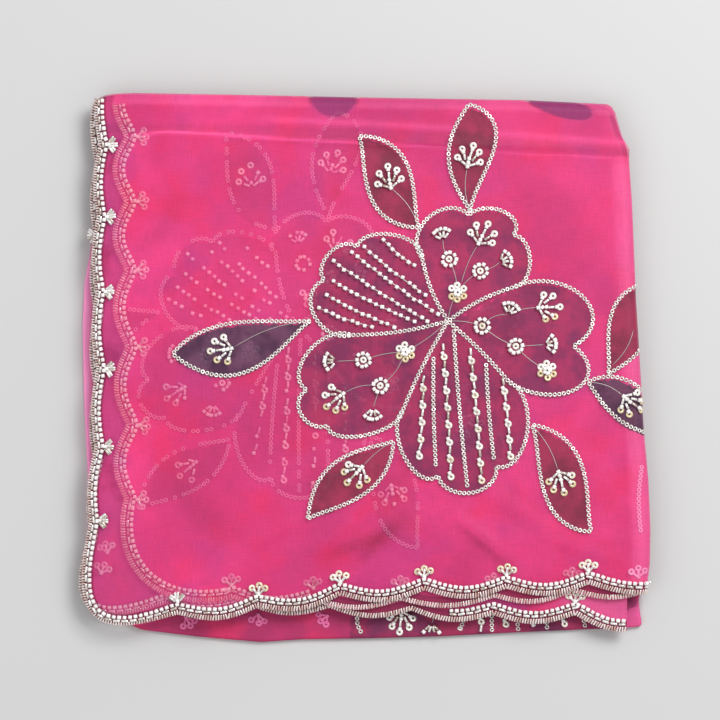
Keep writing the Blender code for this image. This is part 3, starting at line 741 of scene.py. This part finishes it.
def sew(name, sewn, layer, is_flower, keep, materials, bead_height=1.0):
    """Makes one layer's stitches as joined pieces: sequins, large sequins, seed beads, bugles and threads.
    bead_height below 1 presses beads flat, as the cloth on top of them does."""
    turn, centre = FLOWER_ON[layer] if is_flower else (0.0, 0.0)

    def move(flat):
        return flat[:, :1] * turned(turn) + flat[:, 1:2] * turned(turn + 90) + centre if is_flower else flat

    def gathered(rows):
        rows = np.vstack(rows)
        rows[:, :2] = move(rows[:, :2])
        return rows[keep(rows[:, :2])]

    def finish(kind, shape, at, axes, sizes, tones):
        if len(at):
            tones = {"tone": np.repeat(tones, len(shape[0]))}
            put(name + "_" + kind, *repeat(*shape, at, axes, sizes), materials[kind], "beaded_cord", tones)

    every = gathered(sewn.sequins)
    for kind, shape, rows, lift in (
        ("sequins", SEQUIN_RING, every[every[:, 2] < 3], 0.35),
        ("large_sequins", LARGE_SEQUIN_RING, every[every[:, 2] >= 3], 0.5),
    ):
        at, along, left, up = axes_on(rows[:, :2], RANDOM.uniform(0, 360, len(rows)), layer)
        lean = RANDOM.normal(0, 0.14 * bead_height, (len(at), 2))
        axis = unit(up + lean[:, :1] * along + lean[:, 1:] * left)
        first = unit(np.cross(left, axis))
        axes = (axis, first, np.cross(axis, first))
        finish(kind, shape, at + up * lift * bead_height, axes, rows[:, 2:3], rows[:, 3])

    rows = gathered(sewn.seeds)
    at, *axes = axes_on(rows[:, :2], rows[:, 2] + turn + RANDOM.normal(0, 8, len(rows)), layer)
    size = SEED * RANDOM.uniform(0.92, 1.05, (len(at), 1)) * (1, 1, bead_height)
    lift = 0.55 * SEED * bead_height
    finish("seed_beads", SEED_RING, at + axes[2] * lift, axes, size, RANDOM.random(len(at)))

    rows = gathered(sewn.bugles)
    at, *axes = axes_on(rows[:, :2], rows[:, 2] + turn + RANDOM.normal(0, 3, len(rows)), layer)
    size = np.ones((len(at), 3)) * (1, BUGLE_WIDTH, BUGLE_WIDTH * bead_height)
    size[:, 0] = rows[:, 3] * RANDOM.uniform(0.94, 1.03, len(at))
    lift = 0.75 * BUGLE_WIDTH * bead_height
    finish("bugles", BUGLE_RING, at + axes[2] * lift, axes, size, RANDOM.random(len(at)))

    shown = [(move(line), width / 2) for line, width in sewn.threads if keep(move(line)).all()]
    if shown:
        tubes = joined([tube(line, radius, layer, radius) for line, radius in shown])
        put(name + "_threads", *tubes, materials["threads"], "beaded_cord")


def tube(path, radius, layer, lift, sides=6):
    """A round tube along a flat path, lifted off its layer, with open ends pinched to a point."""
    at, _, left, up = axes_on(path, headings(np.gradient(path, axis=0)), layer)
    thick = np.full((len(path), 1, 1), radius)
    thick[[0, -1]] *= 0.05
    around = turned(np.arange(sides) * 360 / sides)
    spokes = around[:, :1] * left[:, None] + around[:, 1:] * up[:, None]
    points = (at + lift * up)[:, None] + thick * spokes
    return points.reshape(-1, 3), lattice(len(path), sides)


def wound_edge(name, layer, node, core_material, wrap_material):
    """The corded edge: a core in the cloth's colour, and fine bugles laid over it slantwise, side by side."""
    path = inset_path(edge_path(layer), CORD_RADIUS + 0.3)
    path = spaced(clipped(path[path[:, 1] < BORDER_TOP[layer]], layer), 1.5)[0]
    core = put(name + "_core", *tube(path, CORD_RADIUS, layer, -0.6, 8), core_material, "beaded_cord")
    points, angles = spaced(edge_row(layer, "wrap"), WRAP_PITCH)
    at, *axes = axes_on(points, angles + WRAP_SLANT + RANDOM.normal(0, 6, len(points)), layer)
    size = np.full((len(at), 3), WRAP_WIDTH)
    size[:, 0] = across_border("wrap_length", points, layer)
    lift = 0.45 + RANDOM.uniform(-0.1, 0.15, (len(at), 1))
    tone = np.repeat(RANDOM.random(len(at)), len(BUGLE_RING[0]))
    turns = repeat(*BUGLE_RING, at + axes[2] * lift, axes, size)
    put(name, *turns, wrap_material, "beaded_cord", {"tone": tone})
    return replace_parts(core, node)


# Cloth

def print_marks(flat, layer):
    """How far inside the printed petals, leaves and dark leaves each point is, beside marks that stay 0.
    The print misses the sewn outlines by a little, as it does on such cloth."""
    marks = {label: np.zeros(len(flat)) for label in ("shade", "pale", "bare")}
    marks |= {label: np.full(len(flat), -MARK_REACH) for label in ("petal", "leaf", "dark_leaf")}
    if layer not in FLOWER_ON:
        return marks
    angle, centre = FLOWER_ON[layer]
    local = flat - centre - PRINT_MISSES
    local = np.stack([local @ turned(angle), local @ turned(angle + 90)], axis=1)
    outlines = [("petal", np.vstack([[(0, 0)], *petal_lobes(i)])) for i in range(len(PETALS["points"]))]
    outlines += [("dark_leaf" if dark else "leaf", leaf_outline(i)) for i, dark in enumerate(LEAVES["dark"])]
    for kind, outline in outlines:
        inside = np.clip(signed_distance(local, outline), -MARK_REACH, MARK_REACH)
        marks[kind] = np.maximum(marks[kind], inside)
    return marks


def edge_distance(flat, layer):
    """Distance from a layer's open edge, up to EDGE_REACH."""
    path = edge_path(layer)[::2]
    nearest = np.full(len(flat), EDGE_REACH)
    for start, end in zip(path, path[1:]):
        nearest = np.minimum(nearest, from_line(flat, start, end)[0])
    return nearest


def cloth_grid(layer, spacing):
    """Flat points of a layer on a grid stretched between its four edges, so that it follows the scallops:
    each point blends the edges opposite each other, less the corners counted twice."""
    path = clipped(inset_path(edge_path(layer), 0.8), layer)
    path[:, 0] += CORNER_TAPER * np.maximum(path[:, 1] - TAPER_FROM, 0)
    corner = int(np.argmin(path.sum(axis=1)))
    columns, rows = int(290 / spacing), int(280 / spacing)
    u, v = np.linspace(0, 1, columns), np.linspace(0, 1, rows)
    (left_length, on_left), (front_length, on_front) = walk(path[corner::-1]), walk(path[corner:])
    left, front = on_left(v * left_length), on_front(u * front_length)
    reach = FOLD_REACH - FOLD_RADIUS if layer == "top" else -LOWER_INSET
    right_y = front[-1, 1] + v * (RIGHT_FOLD["y"][-1] + 3 + reach - front[-1, 1])
    right_x = right_fold(right_y) + reach
    if layer == "third":
        right_x = np.minimum(right_x, THIRD_RIGHT + 8 * smooth(-125, -105, right_y))
    right = np.stack([right_x, right_y], axis=1)
    top_x = left[-1, 0] + u * (right[-1, 0] - left[-1, 0])
    top = np.stack([top_x, top_fold(top_x) + reach], axis=1)
    top[0], top[-1] = left[-1], right[-1]
    u, v = u[None, :, None], v[:, None, None]
    across = (1 - u) * left[:, None] + u * right[:, None]
    upwards = (1 - v) * front[None] + v * top[None]
    corners = (1 - v) * ((1 - u) * front[0] + u * front[-1]) + v * ((1 - u) * left[-1] + u * right[-1])
    return (across + upwards - corners).reshape(-1, 2), rows, columns


def top_marks(flat):
    """Painted light and shade of the top panel. shade: the band between the two creases below the top fold is
    darker, painted highlights lie where the creases catch light, the panel is lighter to the left overall,
    and painted shade and highlight lie along the soft folds. pale: painted highlight on the creases, on the
    cloth turning over the right fold and along the top fold. bare: where no second panel lies under it, so
    that it looks deeper, partly as painted shade of the layers below, and where print on lower layers shows
    through."""
    x, y = flat.T
    crease, faint = np.interp(x, *LONG_CREASE.values()), np.interp(x, *FAINT_CREASE.values())
    upper = np.where(x > -60, faint, 133.5)
    band = smooth(crease + 0.5, crease + 2, y) * smooth(upper - 1, upper - 5, y)
    line = smooth(-128, -112, x) * (1 - 0.4 * smooth(0, 90, x)) * np.exp(-(((y - crease) / 0.9) ** 2))
    line += 0.65 * smooth(-70, -40, x) * np.exp(-(((y - faint) / 2.4) ** 2))
    below = 1 - 0.8 * smooth(crease - 6, crease + 4, y)
    right = smooth(right_fold(y) - 14, right_fold(y) - 3, x) * below
    top = smooth(top_fold(x) - 8, top_fold(x) - 5, y)
    second = edge_path("second")
    second = np.vstack([second, [(FAR, second[-1, 1]), (FAR, FAR), (second[0, 0], FAR)]])
    # Where no second panel lies under it, the cloth looks deeper, partly as painted shade of the layers below
    bare = smooth(1.0, -0.5, signed_distance(flat, second))
    for middle, (long, wide), tilt, depth in FOLDED_PRINT:
        local = flat - middle
        away = np.hypot(local @ turned(tilt) / long, local @ turned(tilt + 90) / wide)
        bare = np.maximum(bare, depth * smooth(1.15, 0.85, away))
    # Painted shade and highlight: darker in the band, lighter on the crease lines and towards the left, and
    # darker or lighter along the soft folds
    shade = 0.5 * line - 0.5 * band + 0.4 * smooth(40, -80, x) - 0.15
    for start, end, wide, strength in zip(*SOFT_FOLDS.values()):
        shade += strength * soft_line(flat, start, end, wide, 0.5)
    # Painted highlight on the creases, on the cloth turning over the right fold and along the top fold
    pale = np.maximum(0.5 * right, np.maximum(0.3 * line, 0.22 * top * (1 - np.minimum(bare, 1))))
    return {"shade": shade, "pale": pale, "bare": bare}


def cloth_sheet(name, layer, node, material, slot, spacing):
    """One panel of cloth as a thin sheet on its solid's upper side."""
    flat, rows, columns = cloth_grid(layer, spacing)
    marks = print_marks(flat, layer)
    marks["edge"] = edge_distance(flat, layer)
    if layer == "top":
        marks |= top_marks(flat)
    if layer == "third":
        # Painted highlight: the third panel is paler towards the right
        marks["pale"] = 0.55 * smooth(88, 118, flat[:, 0])
    piece = put(name, lie(flat, layer), lattice(rows, columns, columns_close=False), material, slot, marks)
    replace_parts(piece, node)
    return piece


def folded_sides(front_y, left_x, inset, top_inset, count):
    """A packet's right side, from front_y back to the top fold, and its top side, from there to left_x."""
    ys = np.linspace(front_y, RIGHT_FOLD["y"][-1], count)
    xs = np.linspace(RIGHT_FOLD["x"][-1] - top_inset, left_x, count)
    right, top = np.stack([right_fold(ys) - inset, ys], axis=1), np.stack([xs, top_fold(xs) - inset], axis=1)
    return np.vstack([right, top])


def rounded(outline, count, softness):
    """A closed outline as evenly spaced points, softened by averaging with its neighbours."""
    length, place = walk(np.vstack([outline, outline[:1]]))
    points = place(np.arange(count) * length / count)
    for _ in range(softness):
        points = (np.roll(points, 1, axis=0) + 2 * points + np.roll(points, -1, axis=0)) / 4
    return points


def outward(points):
    """Unit normals of an anticlockwise closed outline, pointing out."""
    run = np.roll(points, -1, axis=0) - np.roll(points, 1, axis=0)
    return unit(run[:, ::-1] * (1, -1))


def stacked_rings(rings):
    """Points and quads of a closed body through rings of equal count, lowest first, each end closed by
    rings that shrink onto its middle."""
    low, high = (
        [end.mean(axis=0) + (end - end.mean(axis=0)) * share for share in (0.7, 0.35, 0.001)]
        for end in (rings[0], rings[-1])
    )
    rings = [*low[::-1], *rings, *high]
    return np.vstack(rings), lattice(len(rings), len(rings[0]))


def inner_folds(material):
    """The hidden layers: eight folded leaves, each a rounded loop at the sides that stands out a little
    more or less than the next, under a flat top."""
    base, leaves, steps = UNDER_FOLD_HEIGHT + 0.2, 8, 7
    sides = folded_sides(HIDDEN_FRONT, HIDDEN_LEFT, 0.6, 2.6, 90)
    outline = rounded(np.vstack([(HIDDEN_LEFT, HIDDEN_FRONT), sides]), 620, 10)
    out = outward(outline)
    ceiling = stack_height(outline) - HIDDEN_DROP
    rings = []
    for leaf in range(leaves):
        uneven = ripple(outline, 40 + leaf, 90, 0.8) - RANDOM.uniform(0.1, 0.9)
        for share in np.arange(steps) / steps:
            bulge = math.sqrt(max(1 - (2 * share - 1) ** 2, 0.0))
            inset = 1.3 * (1 - bulge) - np.minimum(uneven, 0.1)
            height = base + (leaf + share) / leaves * (ceiling - base)
            rings.append(np.column_stack([outline - inset[:, None] * out, height]))
    rings.append(np.column_stack([outline - 1.6 * out, ceiling]))
    for inset in (8, 16, 24, 34):
        smaller = outline * (1 - inset / 150)
        rings.append(np.column_stack([smaller, stack_height(smaller) - HIDDEN_DROP]))
    piece = put("inner_folds", *stacked_rings(rings), material, "shaded_organza")
    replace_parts(piece, "hidden_layers")
    return piece


UNDER_LEFT = {
    "y": (-112, -80, -55, -26, -6, 23, 45, 66, 100, 136),
    "x": (-148, -148.6, -149, -150.6, -151.2, -151.7, -150.8, -147, -143.5, -142.5),
}
UNDER_FRONT = {
    "x": (-135, -120, -89, -56, -34, 1, 40, 83, 119, 138, 149, 147.8, 146.9),
    "y": (-134, -140.7, -144.4, -147.3, -145.8, -145.3, -144.2, -142, -140.4, -139.9, -138.7, -131.7, -124.4),
}


def under_outline():
    """The lowest fold's outline, anticlockwise from its front left corner."""
    front, left = (np.stack([side["x"], side["y"]], axis=1) for side in (UNDER_FRONT, UNDER_LEFT))
    folds = folded_sides(-112, UNDER_LEFT["x"][-1], 1.6, 4, 60)
    return rounded(np.vstack([front, folds, left[::-1]]), 900, 3)


def lowest_fold(material):
    """The fold that the stole rests on: flat below, a rounded rim, and a fine upper side near the rim,
    where it shows past the panels."""
    outline = under_outline()
    out = outward(outline)
    rings = [
        np.column_stack([outline - inset * out, np.full(len(outline), z)])
        for z, inset in ((0, 1.2), (0.3, 0.45), (0.9, 0.08), (1.5, 0.0), (2.2, 0.15), (2.8, 0.6))
    ]
    rim = outline - 1.2 * out
    for inset in (*np.arange(0, 26, 1.3), 33, 45):
        rings.append(lie(rim * (1 - inset / 150), "under"))
    points, faces = stacked_rings(rings)
    points[:, 2] = np.maximum(points[:, 2], 0)
    x, y = points[:, 0], points[:, 1]
    marks = print_marks(points[:, :2], "under")
    printed = np.clip(np.minimum(x + 8, 127 - x), -MARK_REACH, MARK_REACH) - 12 * (y > 0)
    marks["petal"] = np.maximum(marks["petal"], printed)
    marks["edge"] = np.full(len(points), EDGE_REACH)
    # Painted light: the left side, where the rounded fold catches light, and the right front corner, under
    # the shadow of the layers above, are made paler and lighter
    left_side = smooth(-143, -149, x) * smooth(80, 50, y)
    right_corner = smooth(128, 140, x) * smooth(-90, -120, y)
    marks["pale"] = 0.8 * left_side + 0.1 * right_corner
    marks["shade"] = 1.1 * left_side + 2.2 * right_corner
    piece = put("lowest_fold", points, faces, material, "shaded_organza", marks)
    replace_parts(piece, "under_fold")
    return piece


# Materials

def colour(text):
    """A linear RGBA colour from an sRGB hex value."""
    srgb = np.array([int(text[i : i + 2], 16) for i in (1, 3, 5)]) / 255
    linear = np.where(srgb <= 0.04045, srgb / 12.92, ((srgb + 0.055) / 1.055) ** 2.4)
    return (*linear.tolist(), 1.0)


def fill(tree, socket, value):
    """Joins another node's socket to this one, or sets this one's value."""
    if isinstance(value, bpy.types.NodeSocket):
        tree.links.new(value, socket)
    else:
        socket.default_value = value


def add_node(tree, kind, settings=None, output=0, **links):
    """Adds a node and gives one of its outputs. Settings are its own properties, and links fill its
    sockets, by name or, as n0 or n1, by number."""
    node = tree.nodes.new(kind)
    for label, value in (settings or {}).items():
        setattr(node, label, value)
    named = {socket.name.replace(" ", "_"): socket for socket in reversed(node.inputs[:]) if socket.enabled}
    for label, value in links.items():
        fill(tree, named[label] if label in named else node.inputs[int(label[1:])], value)
    return node.outputs[output]


def new_material(name):
    """An empty node material and its tree."""
    material = bpy.data.materials.new(name)
    material.use_nodes = True
    return material, material.node_tree


def set_shader(tree, **values):
    """Fills sockets of a material's shader."""
    for label, value in values.items():
        fill(tree, tree.nodes["Principled BSDF"].inputs[label.replace("_", " ")], value)


def span(low, high, to_low=0.0, to_high=1.0):
    """What a smooth step from one range to another fills."""
    return {"From_Min": low, "From_Max": high, "To_Min": to_low, "To_Max": to_high}


def clouds(tree, coordinates, scale, detail, *ranges, roughness=0.5):
    """Soft, uneven patches: noise, stepped smoothly from one range to another."""
    patches = add_node(tree, NOISE, Vector=coordinates, Scale=scale, Detail=detail, Roughness=roughness)
    return add_node(tree, STEP, SMOOTH, Value=patches, **span(*ranges))


def layered(tree, base, *layers):
    """Colours laid over a base one after another, each by its own share."""
    for share, tint in layers:
        tint = colour(tint) if isinstance(tint, str) else tint
        base = add_node(tree, "ShaderNodeMix", {"data_type": "RGBA"}, 2, n0=share, n6=base, n7=tint)
    return base


def organza(name, light, deep, alpha, print_strength, pattern_shift=0.0, pale="#f0639c"):
    """Silk-like organza: a plain weave of fine, shiny threads, sheer, piece-dyed with cloudy hand-brushed
    colour, so it has a soft sheen and a faint grain both ways. Its threads are about 0.2 mm apart, too fine
    to show here, so the grain is drawn about 0.5 mm apart. The print is plum wash inside the motifs, and
    pigment makes the cloth less sheer there."""
    material, tree = new_material(name)
    coordinates = add_node(tree, "ShaderNodeTexCoord", output="Object")
    moved = add_node(tree, "ShaderNodeMapping", Vector=coordinates, Location=(pattern_shift, 0, 0))
    marks = {
        label: add_node(tree, "ShaderNodeAttribute", {"attribute_name": label}, "Fac")
        for label in ("shade", "pale", "bare", "edge", *PRINTS)
    }
    bare = marks["bare"]
    through = layered(
        tree, colour("#bd4686"),
        (clouds(tree, moved, 55, 3, 0.5, 0.68), "#702454"),
        (add_node(tree, STEP, SMOOTH, Value=bare, **span(1, 1.6)), "#8c2a64"),
    )
    base = layered(
        tree, colour(deep),
        (clouds(tree, moved, 15, 3, 0.36, 0.62), light),
        (clouds(tree, moved, 42, 4, 0.42, 0.74, 0, 0.75), "#da2a60"),
        (clouds(tree, moved, 29, 3, 0.5, 0.72, 0, 0.6), "#b23680"),
        (add_node(tree, STEP, SMOOTH, Value=bare, **span(0, 2)), through),
        # Painted highlight: the pale mark mixes in a lighter pink
        (marks["pale"], pale),
    )
    wash = clouds(tree, moved, 60, 5, 0.36, 0.64, roughness=0.6)
    bleed = clouds(tree, moved, 330, 2, 0.2, 0.8, -0.9, 0.9)
    covers = [
        add_node(tree, STEP, SMOOTH, Value=marks["pale"], **span(0, 0.3)),
        add_node(tree, STEP, SMOOTH, Value=bare, **span(1, 2)),
    ]
    for label, (dark, bright, strength) in PRINTS.items():
        edge = add_node(tree, MATH, {"operation": "ADD"}, n0=marks[label], n1=bleed)
        edge = add_node(tree, STEP, SMOOTH, Value=edge, **span(-0.6, 0.7, 0, strength * print_strength))
        base = layered(tree, base, (edge, layered(tree, colour(dark), (wash, bright))))
        covers.append(edge)
    rim = add_node(tree, STEP, SMOOTH, Value=marks["edge"], **span(5.4, 6.6, 0.8, 0))
    base = layered(tree, base, (rim, "#7a1c40"))
    covered = 0.0
    for cover in covers:
        covered = add_node(tree, MATH, {"operation": "MAXIMUM"}, n0=covered, n1=cover)
    warp, weft = (
        add_node(tree, NOISE, Vector=add_node(tree, "ShaderNodeMapping", Vector=coordinates, Scale=scale),
                 Scale=1, Detail=2)
        for scale in ((2000, 120, 1), (120, 2000, 1))
    )
    weave = add_node(tree, MATH, {"operation": "ADD"}, n0=warp, n1=weft)
    grain = add_node(tree, STEP, SMOOTH, Value=weave, **span(0.7, 1.3, 0.92, 1.08))
    # Painted light and shade: the shade mark makes the colour lighter or darker
    value = add_node(tree, MATH, {"operation": "MULTIPLY_ADD"}, n0=marks["shade"], n1=0.35, n2=grain)
    set_shader(
        tree,
        Base_Color=add_node(tree, "ShaderNodeHueSaturation", Value=value, Color=base),
        Normal=add_node(tree, "ShaderNodeBump", Strength=0.2, Distance=0.00015, Height=weave),
        Alpha=add_node(tree, STEP, SMOOTH, Value=covered, **span(0, 1, alpha, max(alpha, 0.93))),
        Roughness=0.55, Specular_IOR_Level=0.3,
        Sheen_Weight=0.09, Sheen_Roughness=0.35, Sheen_Tint=colour("#ffb0d0"),
    )
    return material


def toned(name, pale, warm, warm_from, roughness, metallic, coat=0.0):
    """A bead or sequin finish, whose colour runs from pale to warm from one bead to the next."""
    material, tree = new_material(name)
    tone = add_node(tree, "ShaderNodeAttribute", {"attribute_name": "tone"}, "Fac")
    tone = add_node(tree, STEP, SMOOTH, Value=tone, **span(warm_from, 1))
    coordinates = add_node(tree, "ShaderNodeTexCoord", output="Object")
    streak = clouds(tree, coordinates, 1500, 2, 0.3, 0.7, 0.86, 1.06)
    blend = layered(tree, colour(pale), (tone, warm))
    tinted = add_node(tree, "ShaderNodeHueSaturation", Value=streak, Color=blend)
    set_shader(tree, Base_Color=tinted, Roughness=roughness, Metallic=metallic)
    set_shader(tree, Coat_Weight=coat, Coat_Roughness=0.1)
    return material


def bead_materials():
    """Sequins are vacuum-coated film, silver, and champagne for some large ones. Seed beads are opaque pearl
    glass, bugles are silver-lined glass, and so are the wound turns. The threads are grey metallised yarn."""
    return {
        "sequins": toned("silver coated sequin film", "#f0ebe6", "#8f817c", 0.0, 0.28, 0.6),
        "large_sequins": toned("champagne coated sequin film", "#fbf7ef", "#e6d3ac", 0.35, 0.3, 0.3),
        "seed_beads": toned("pearl glass seed bead", "#fbf9f7", "#ece6e2", 0.5, 0.2, 0.0, 0.6),
        "bugles": toned("silver lined glass bugle", "#f1edea", "#beb0a4", 0.3, 0.2, 0.4, 0.6),
        "wrap": toned("champagne lined glass bugle", "#f4e6e2", "#cfaea6", 0.25, 0.25, 0.35, 0.4),
        "core": toned("maroon cord core", "#7a2444", "#7a2444", 0.5, 0.7, 0.0),
        "threads": toned("grey metallised thread", "#c0b4b2", "#c0b4b2", 0.5, 0.4, 0.4),
    }


def veiled_bead_materials():
    """The same beads on the second layer. Light reaches them only through the pink cloth on top of them, so
    that pink light is painted into their colour."""
    return {
        "sequins": toned("silver sequin film under pink cloth", "#f79cc2", "#d04f88", 0.0, 0.4, 0.2),
        "large_sequins": toned("champagne sequin film under pink cloth", "#fcc6da", "#f09cba", 0.3, 0.4, 0.2),
        "seed_beads": toned("pearl seed bead under pink cloth", "#fdd0e2", "#f2a2c6", 0.3, 0.4, 0.0),
        "bugles": toned("glass bugle under pink cloth", "#fbc0d8", "#e88cb6", 0.3, 0.4, 0.1),
        "threads": toned("metallised thread under pink cloth", "#c4588a", "#c4588a", 0.5, 0.5, 0.1),
    }


# Stage

def add_object(name, data):
    """Puts new data in the scene as an object."""
    thing = bpy.data.objects.new(name, data)
    bpy.context.scene.collection.objects.link(thing)
    return thing


def add_floor():
    """A plain pale floor."""
    mesh = bpy.data.meshes.new("floor")
    half = 2.0
    corners = [(-half, -half, 0), (half, -half, 0), (half, half, 0), (-half, half, 0)]
    mesh.from_pydata(corners, [], [(0, 1, 2, 3)])
    material, tree = new_material("pale matte floor")
    set_shader(tree, Base_Color=colour("#c9c9c9"), Roughness=0.9)
    mesh.materials.append(material)
    floor = add_object("floor", mesh)
    floor.location.z = -0.0002


def add_light(name, location, power, size):
    """A soft square lamp that faces the packet."""
    data = bpy.data.lights.new(name, "AREA")
    data.energy, data.size = power, size
    light = add_object(name, data)
    light.location = location
    light.rotation_euler = (-Vector(location)).to_track_quat("-Z", "Y").to_euler()


def add_camera():
    """Straight above, a little left of and beyond the packet's middle."""
    data = bpy.data.cameras.new("camera")
    data.sensor_width, data.lens = SENSOR_WIDTH, LENS
    camera = add_object("camera", data)
    camera.location = (-0.0025, 0.00435, PICTURE_WIDTH * LENS / SENSOR_WIDTH + TOP_HEIGHT * MM)
    bpy.context.scene.camera = camera


def add_world():
    world = bpy.data.worlds.new("soft studio")
    world.use_nodes = True
    background = world.node_tree.nodes["Background"]
    background.inputs["Color"].default_value = (1.0, 1.0, 1.0, 1.0)
    background.inputs["Strength"].default_value = 0.55
    bpy.context.scene.world = world


def everywhere(flat):
    return np.full(len(flat), True)


def sew_flowers(beads, veiled):
    """The same flower on the top panel, through the cloth on the second, and along the front on the lowest
    fold, each kept to where it shows."""
    second = clipped(inset_path(edge_path("second"), 9), "second")
    second = np.vstack([second, [(right_fold(-110) - 6, -110), (132, 138), (second[0, 0], 138)]])
    strip = under_outline()

    def on_top(flat):
        return np.hypot(*past_folds(flat).T) < FOLD_REACH - 2

    def on_second(flat):
        return (signed_distance(flat, second) > 0) & (RANDOM.random(len(flat)) < 0.78)

    def on_front_strip(flat):
        clear = np.hypot(*(flat - UNDER_SPRAY).T) > 13
        return (signed_distance(flat, strip) > 2.0) & (flat[:, 1] < -124.5) & (flat[:, 0] < 128) & clear

    flower = Stitches()
    add_flower(flower)
    sew("top_flower", flower, "top", True, on_top, beads)
    sew("second_flower", flower, "second", True, on_second, veiled, 0.7)
    sew("under_flower", flower, "under", True, on_front_strip, beads)


def sew_hidden_motifs(beads, veiled):
    """The lowest fold's own spray, the tufts that show through cloth, and what shows at the right fold."""
    spray = Stitches()
    add_spray(spray, UNDER_SPRAY, 268)
    for rows in spray.sequins:
        rows[:, 3] *= 0.3
    sew("front_spray", spray, "under", False, everywhere, beads)
    # Painted light: beads under more cloth are painted a deeper pink for the dimmer pink light that reaches
    # them
    dim = toned("bead film under pink cloth", "#ea74aa", "#dc5e98", 0.3, 0.5, 0.0)
    for name, layer, tufts in SUNKEN_TUFTS:
        sunken = Stitches()
        for x, y, facing in tufts:
            add_tuft(sunken, np.array((x, y)), facing, True)
        materials = dict.fromkeys(veiled, dim) if layer == "under" else veiled
        sew(name, sunken, layer, False, everywhere, materials, 0.4)
    at_fold = Stitches()
    at_fold.add_sequin_line(bowed(*FOLD_LEAF, -1.5))
    add_tuft(at_fold, FOLD_TUFT, 95, True)
    # Painted light: beads under the turned cloth are painted pink for the light that reaches them through it
    faint = toned("bead film under turned pink cloth", "#f48cb8", "#ee7cac", 0.5, 0.5, 0.0)
    sew("fold", at_fold, "top", False, everywhere, dict.fromkeys(veiled, faint), 0.2)


def main():
    add_floor()
    add_world()
    add_light("key", (0.7, 0.8, 1.3), 22, 0.8)
    add_light("fill", (-0.9, -0.6, 1.2), 5, 1.2)
    add_camera()
    bpy.context.scene.view_settings.view_transform = "Standard"

    # Copies of one organza, darker for the lower layers: partly the deeper colour of cloth on many layers,
    # partly painted shade under the layers above; the folded copy's paler pink is for its painted highlights
    sheer = organza("sheer printed organza", "#e03f82", "#c23270", 0.62, 1.0)
    lower = organza("printed organza, second layer", "#dc3c7c", "#c0306c", 1.0, 0.6, 0.3)
    deep = organza("printed organza, third layer", "#b8306e", "#8e2058", 1.0, 1.0, 0.6)
    folded = organza("printed organza, many layers", "#b82e64", "#9c2658", 1.0, 1.0, 0.9, "#ee92c4")
    beads, veiled = bead_materials(), veiled_bead_materials()
    pink_core = toned("pink cord core", "#d0648f", "#d0648f", 0.5, 0.7, 0.0)

    lowest_fold(folded)
    inner_folds(folded)
    cloth_sheet("third_cloth", "third", "third_panel", deep, "organza", COARSE_GRID)
    cloth_sheet("second_cloth", "second", "second_panel", lower, "organza", COARSE_GRID)
    top = cloth_sheet("top_cloth", "top", "top_panel", sheer, "organza", FINE_GRID)
    top.visible_shadow = False

    for layer, row in LAYERS.items():
        core = pink_core if layer == "second" else beads["core"]
        wound_edge(layer + "_wound_edge", layer, layer + "_corded_edge", core, beads["wrap"])
        border = Stitches()
        add_border(border, layer)
        if layer == "third":
            add_tuft(border, STRAY_TUFT, 195, False)
        kinds = beads | {"large_sequins": veiled["large_sequins"]} if layer == "second" else beads
        sew(layer + "_border", border, layer, False, everywhere, kinds, row["bead_height"])
    sew_flowers(beads, veiled)
    sew_hidden_motifs(beads, veiled)


main()
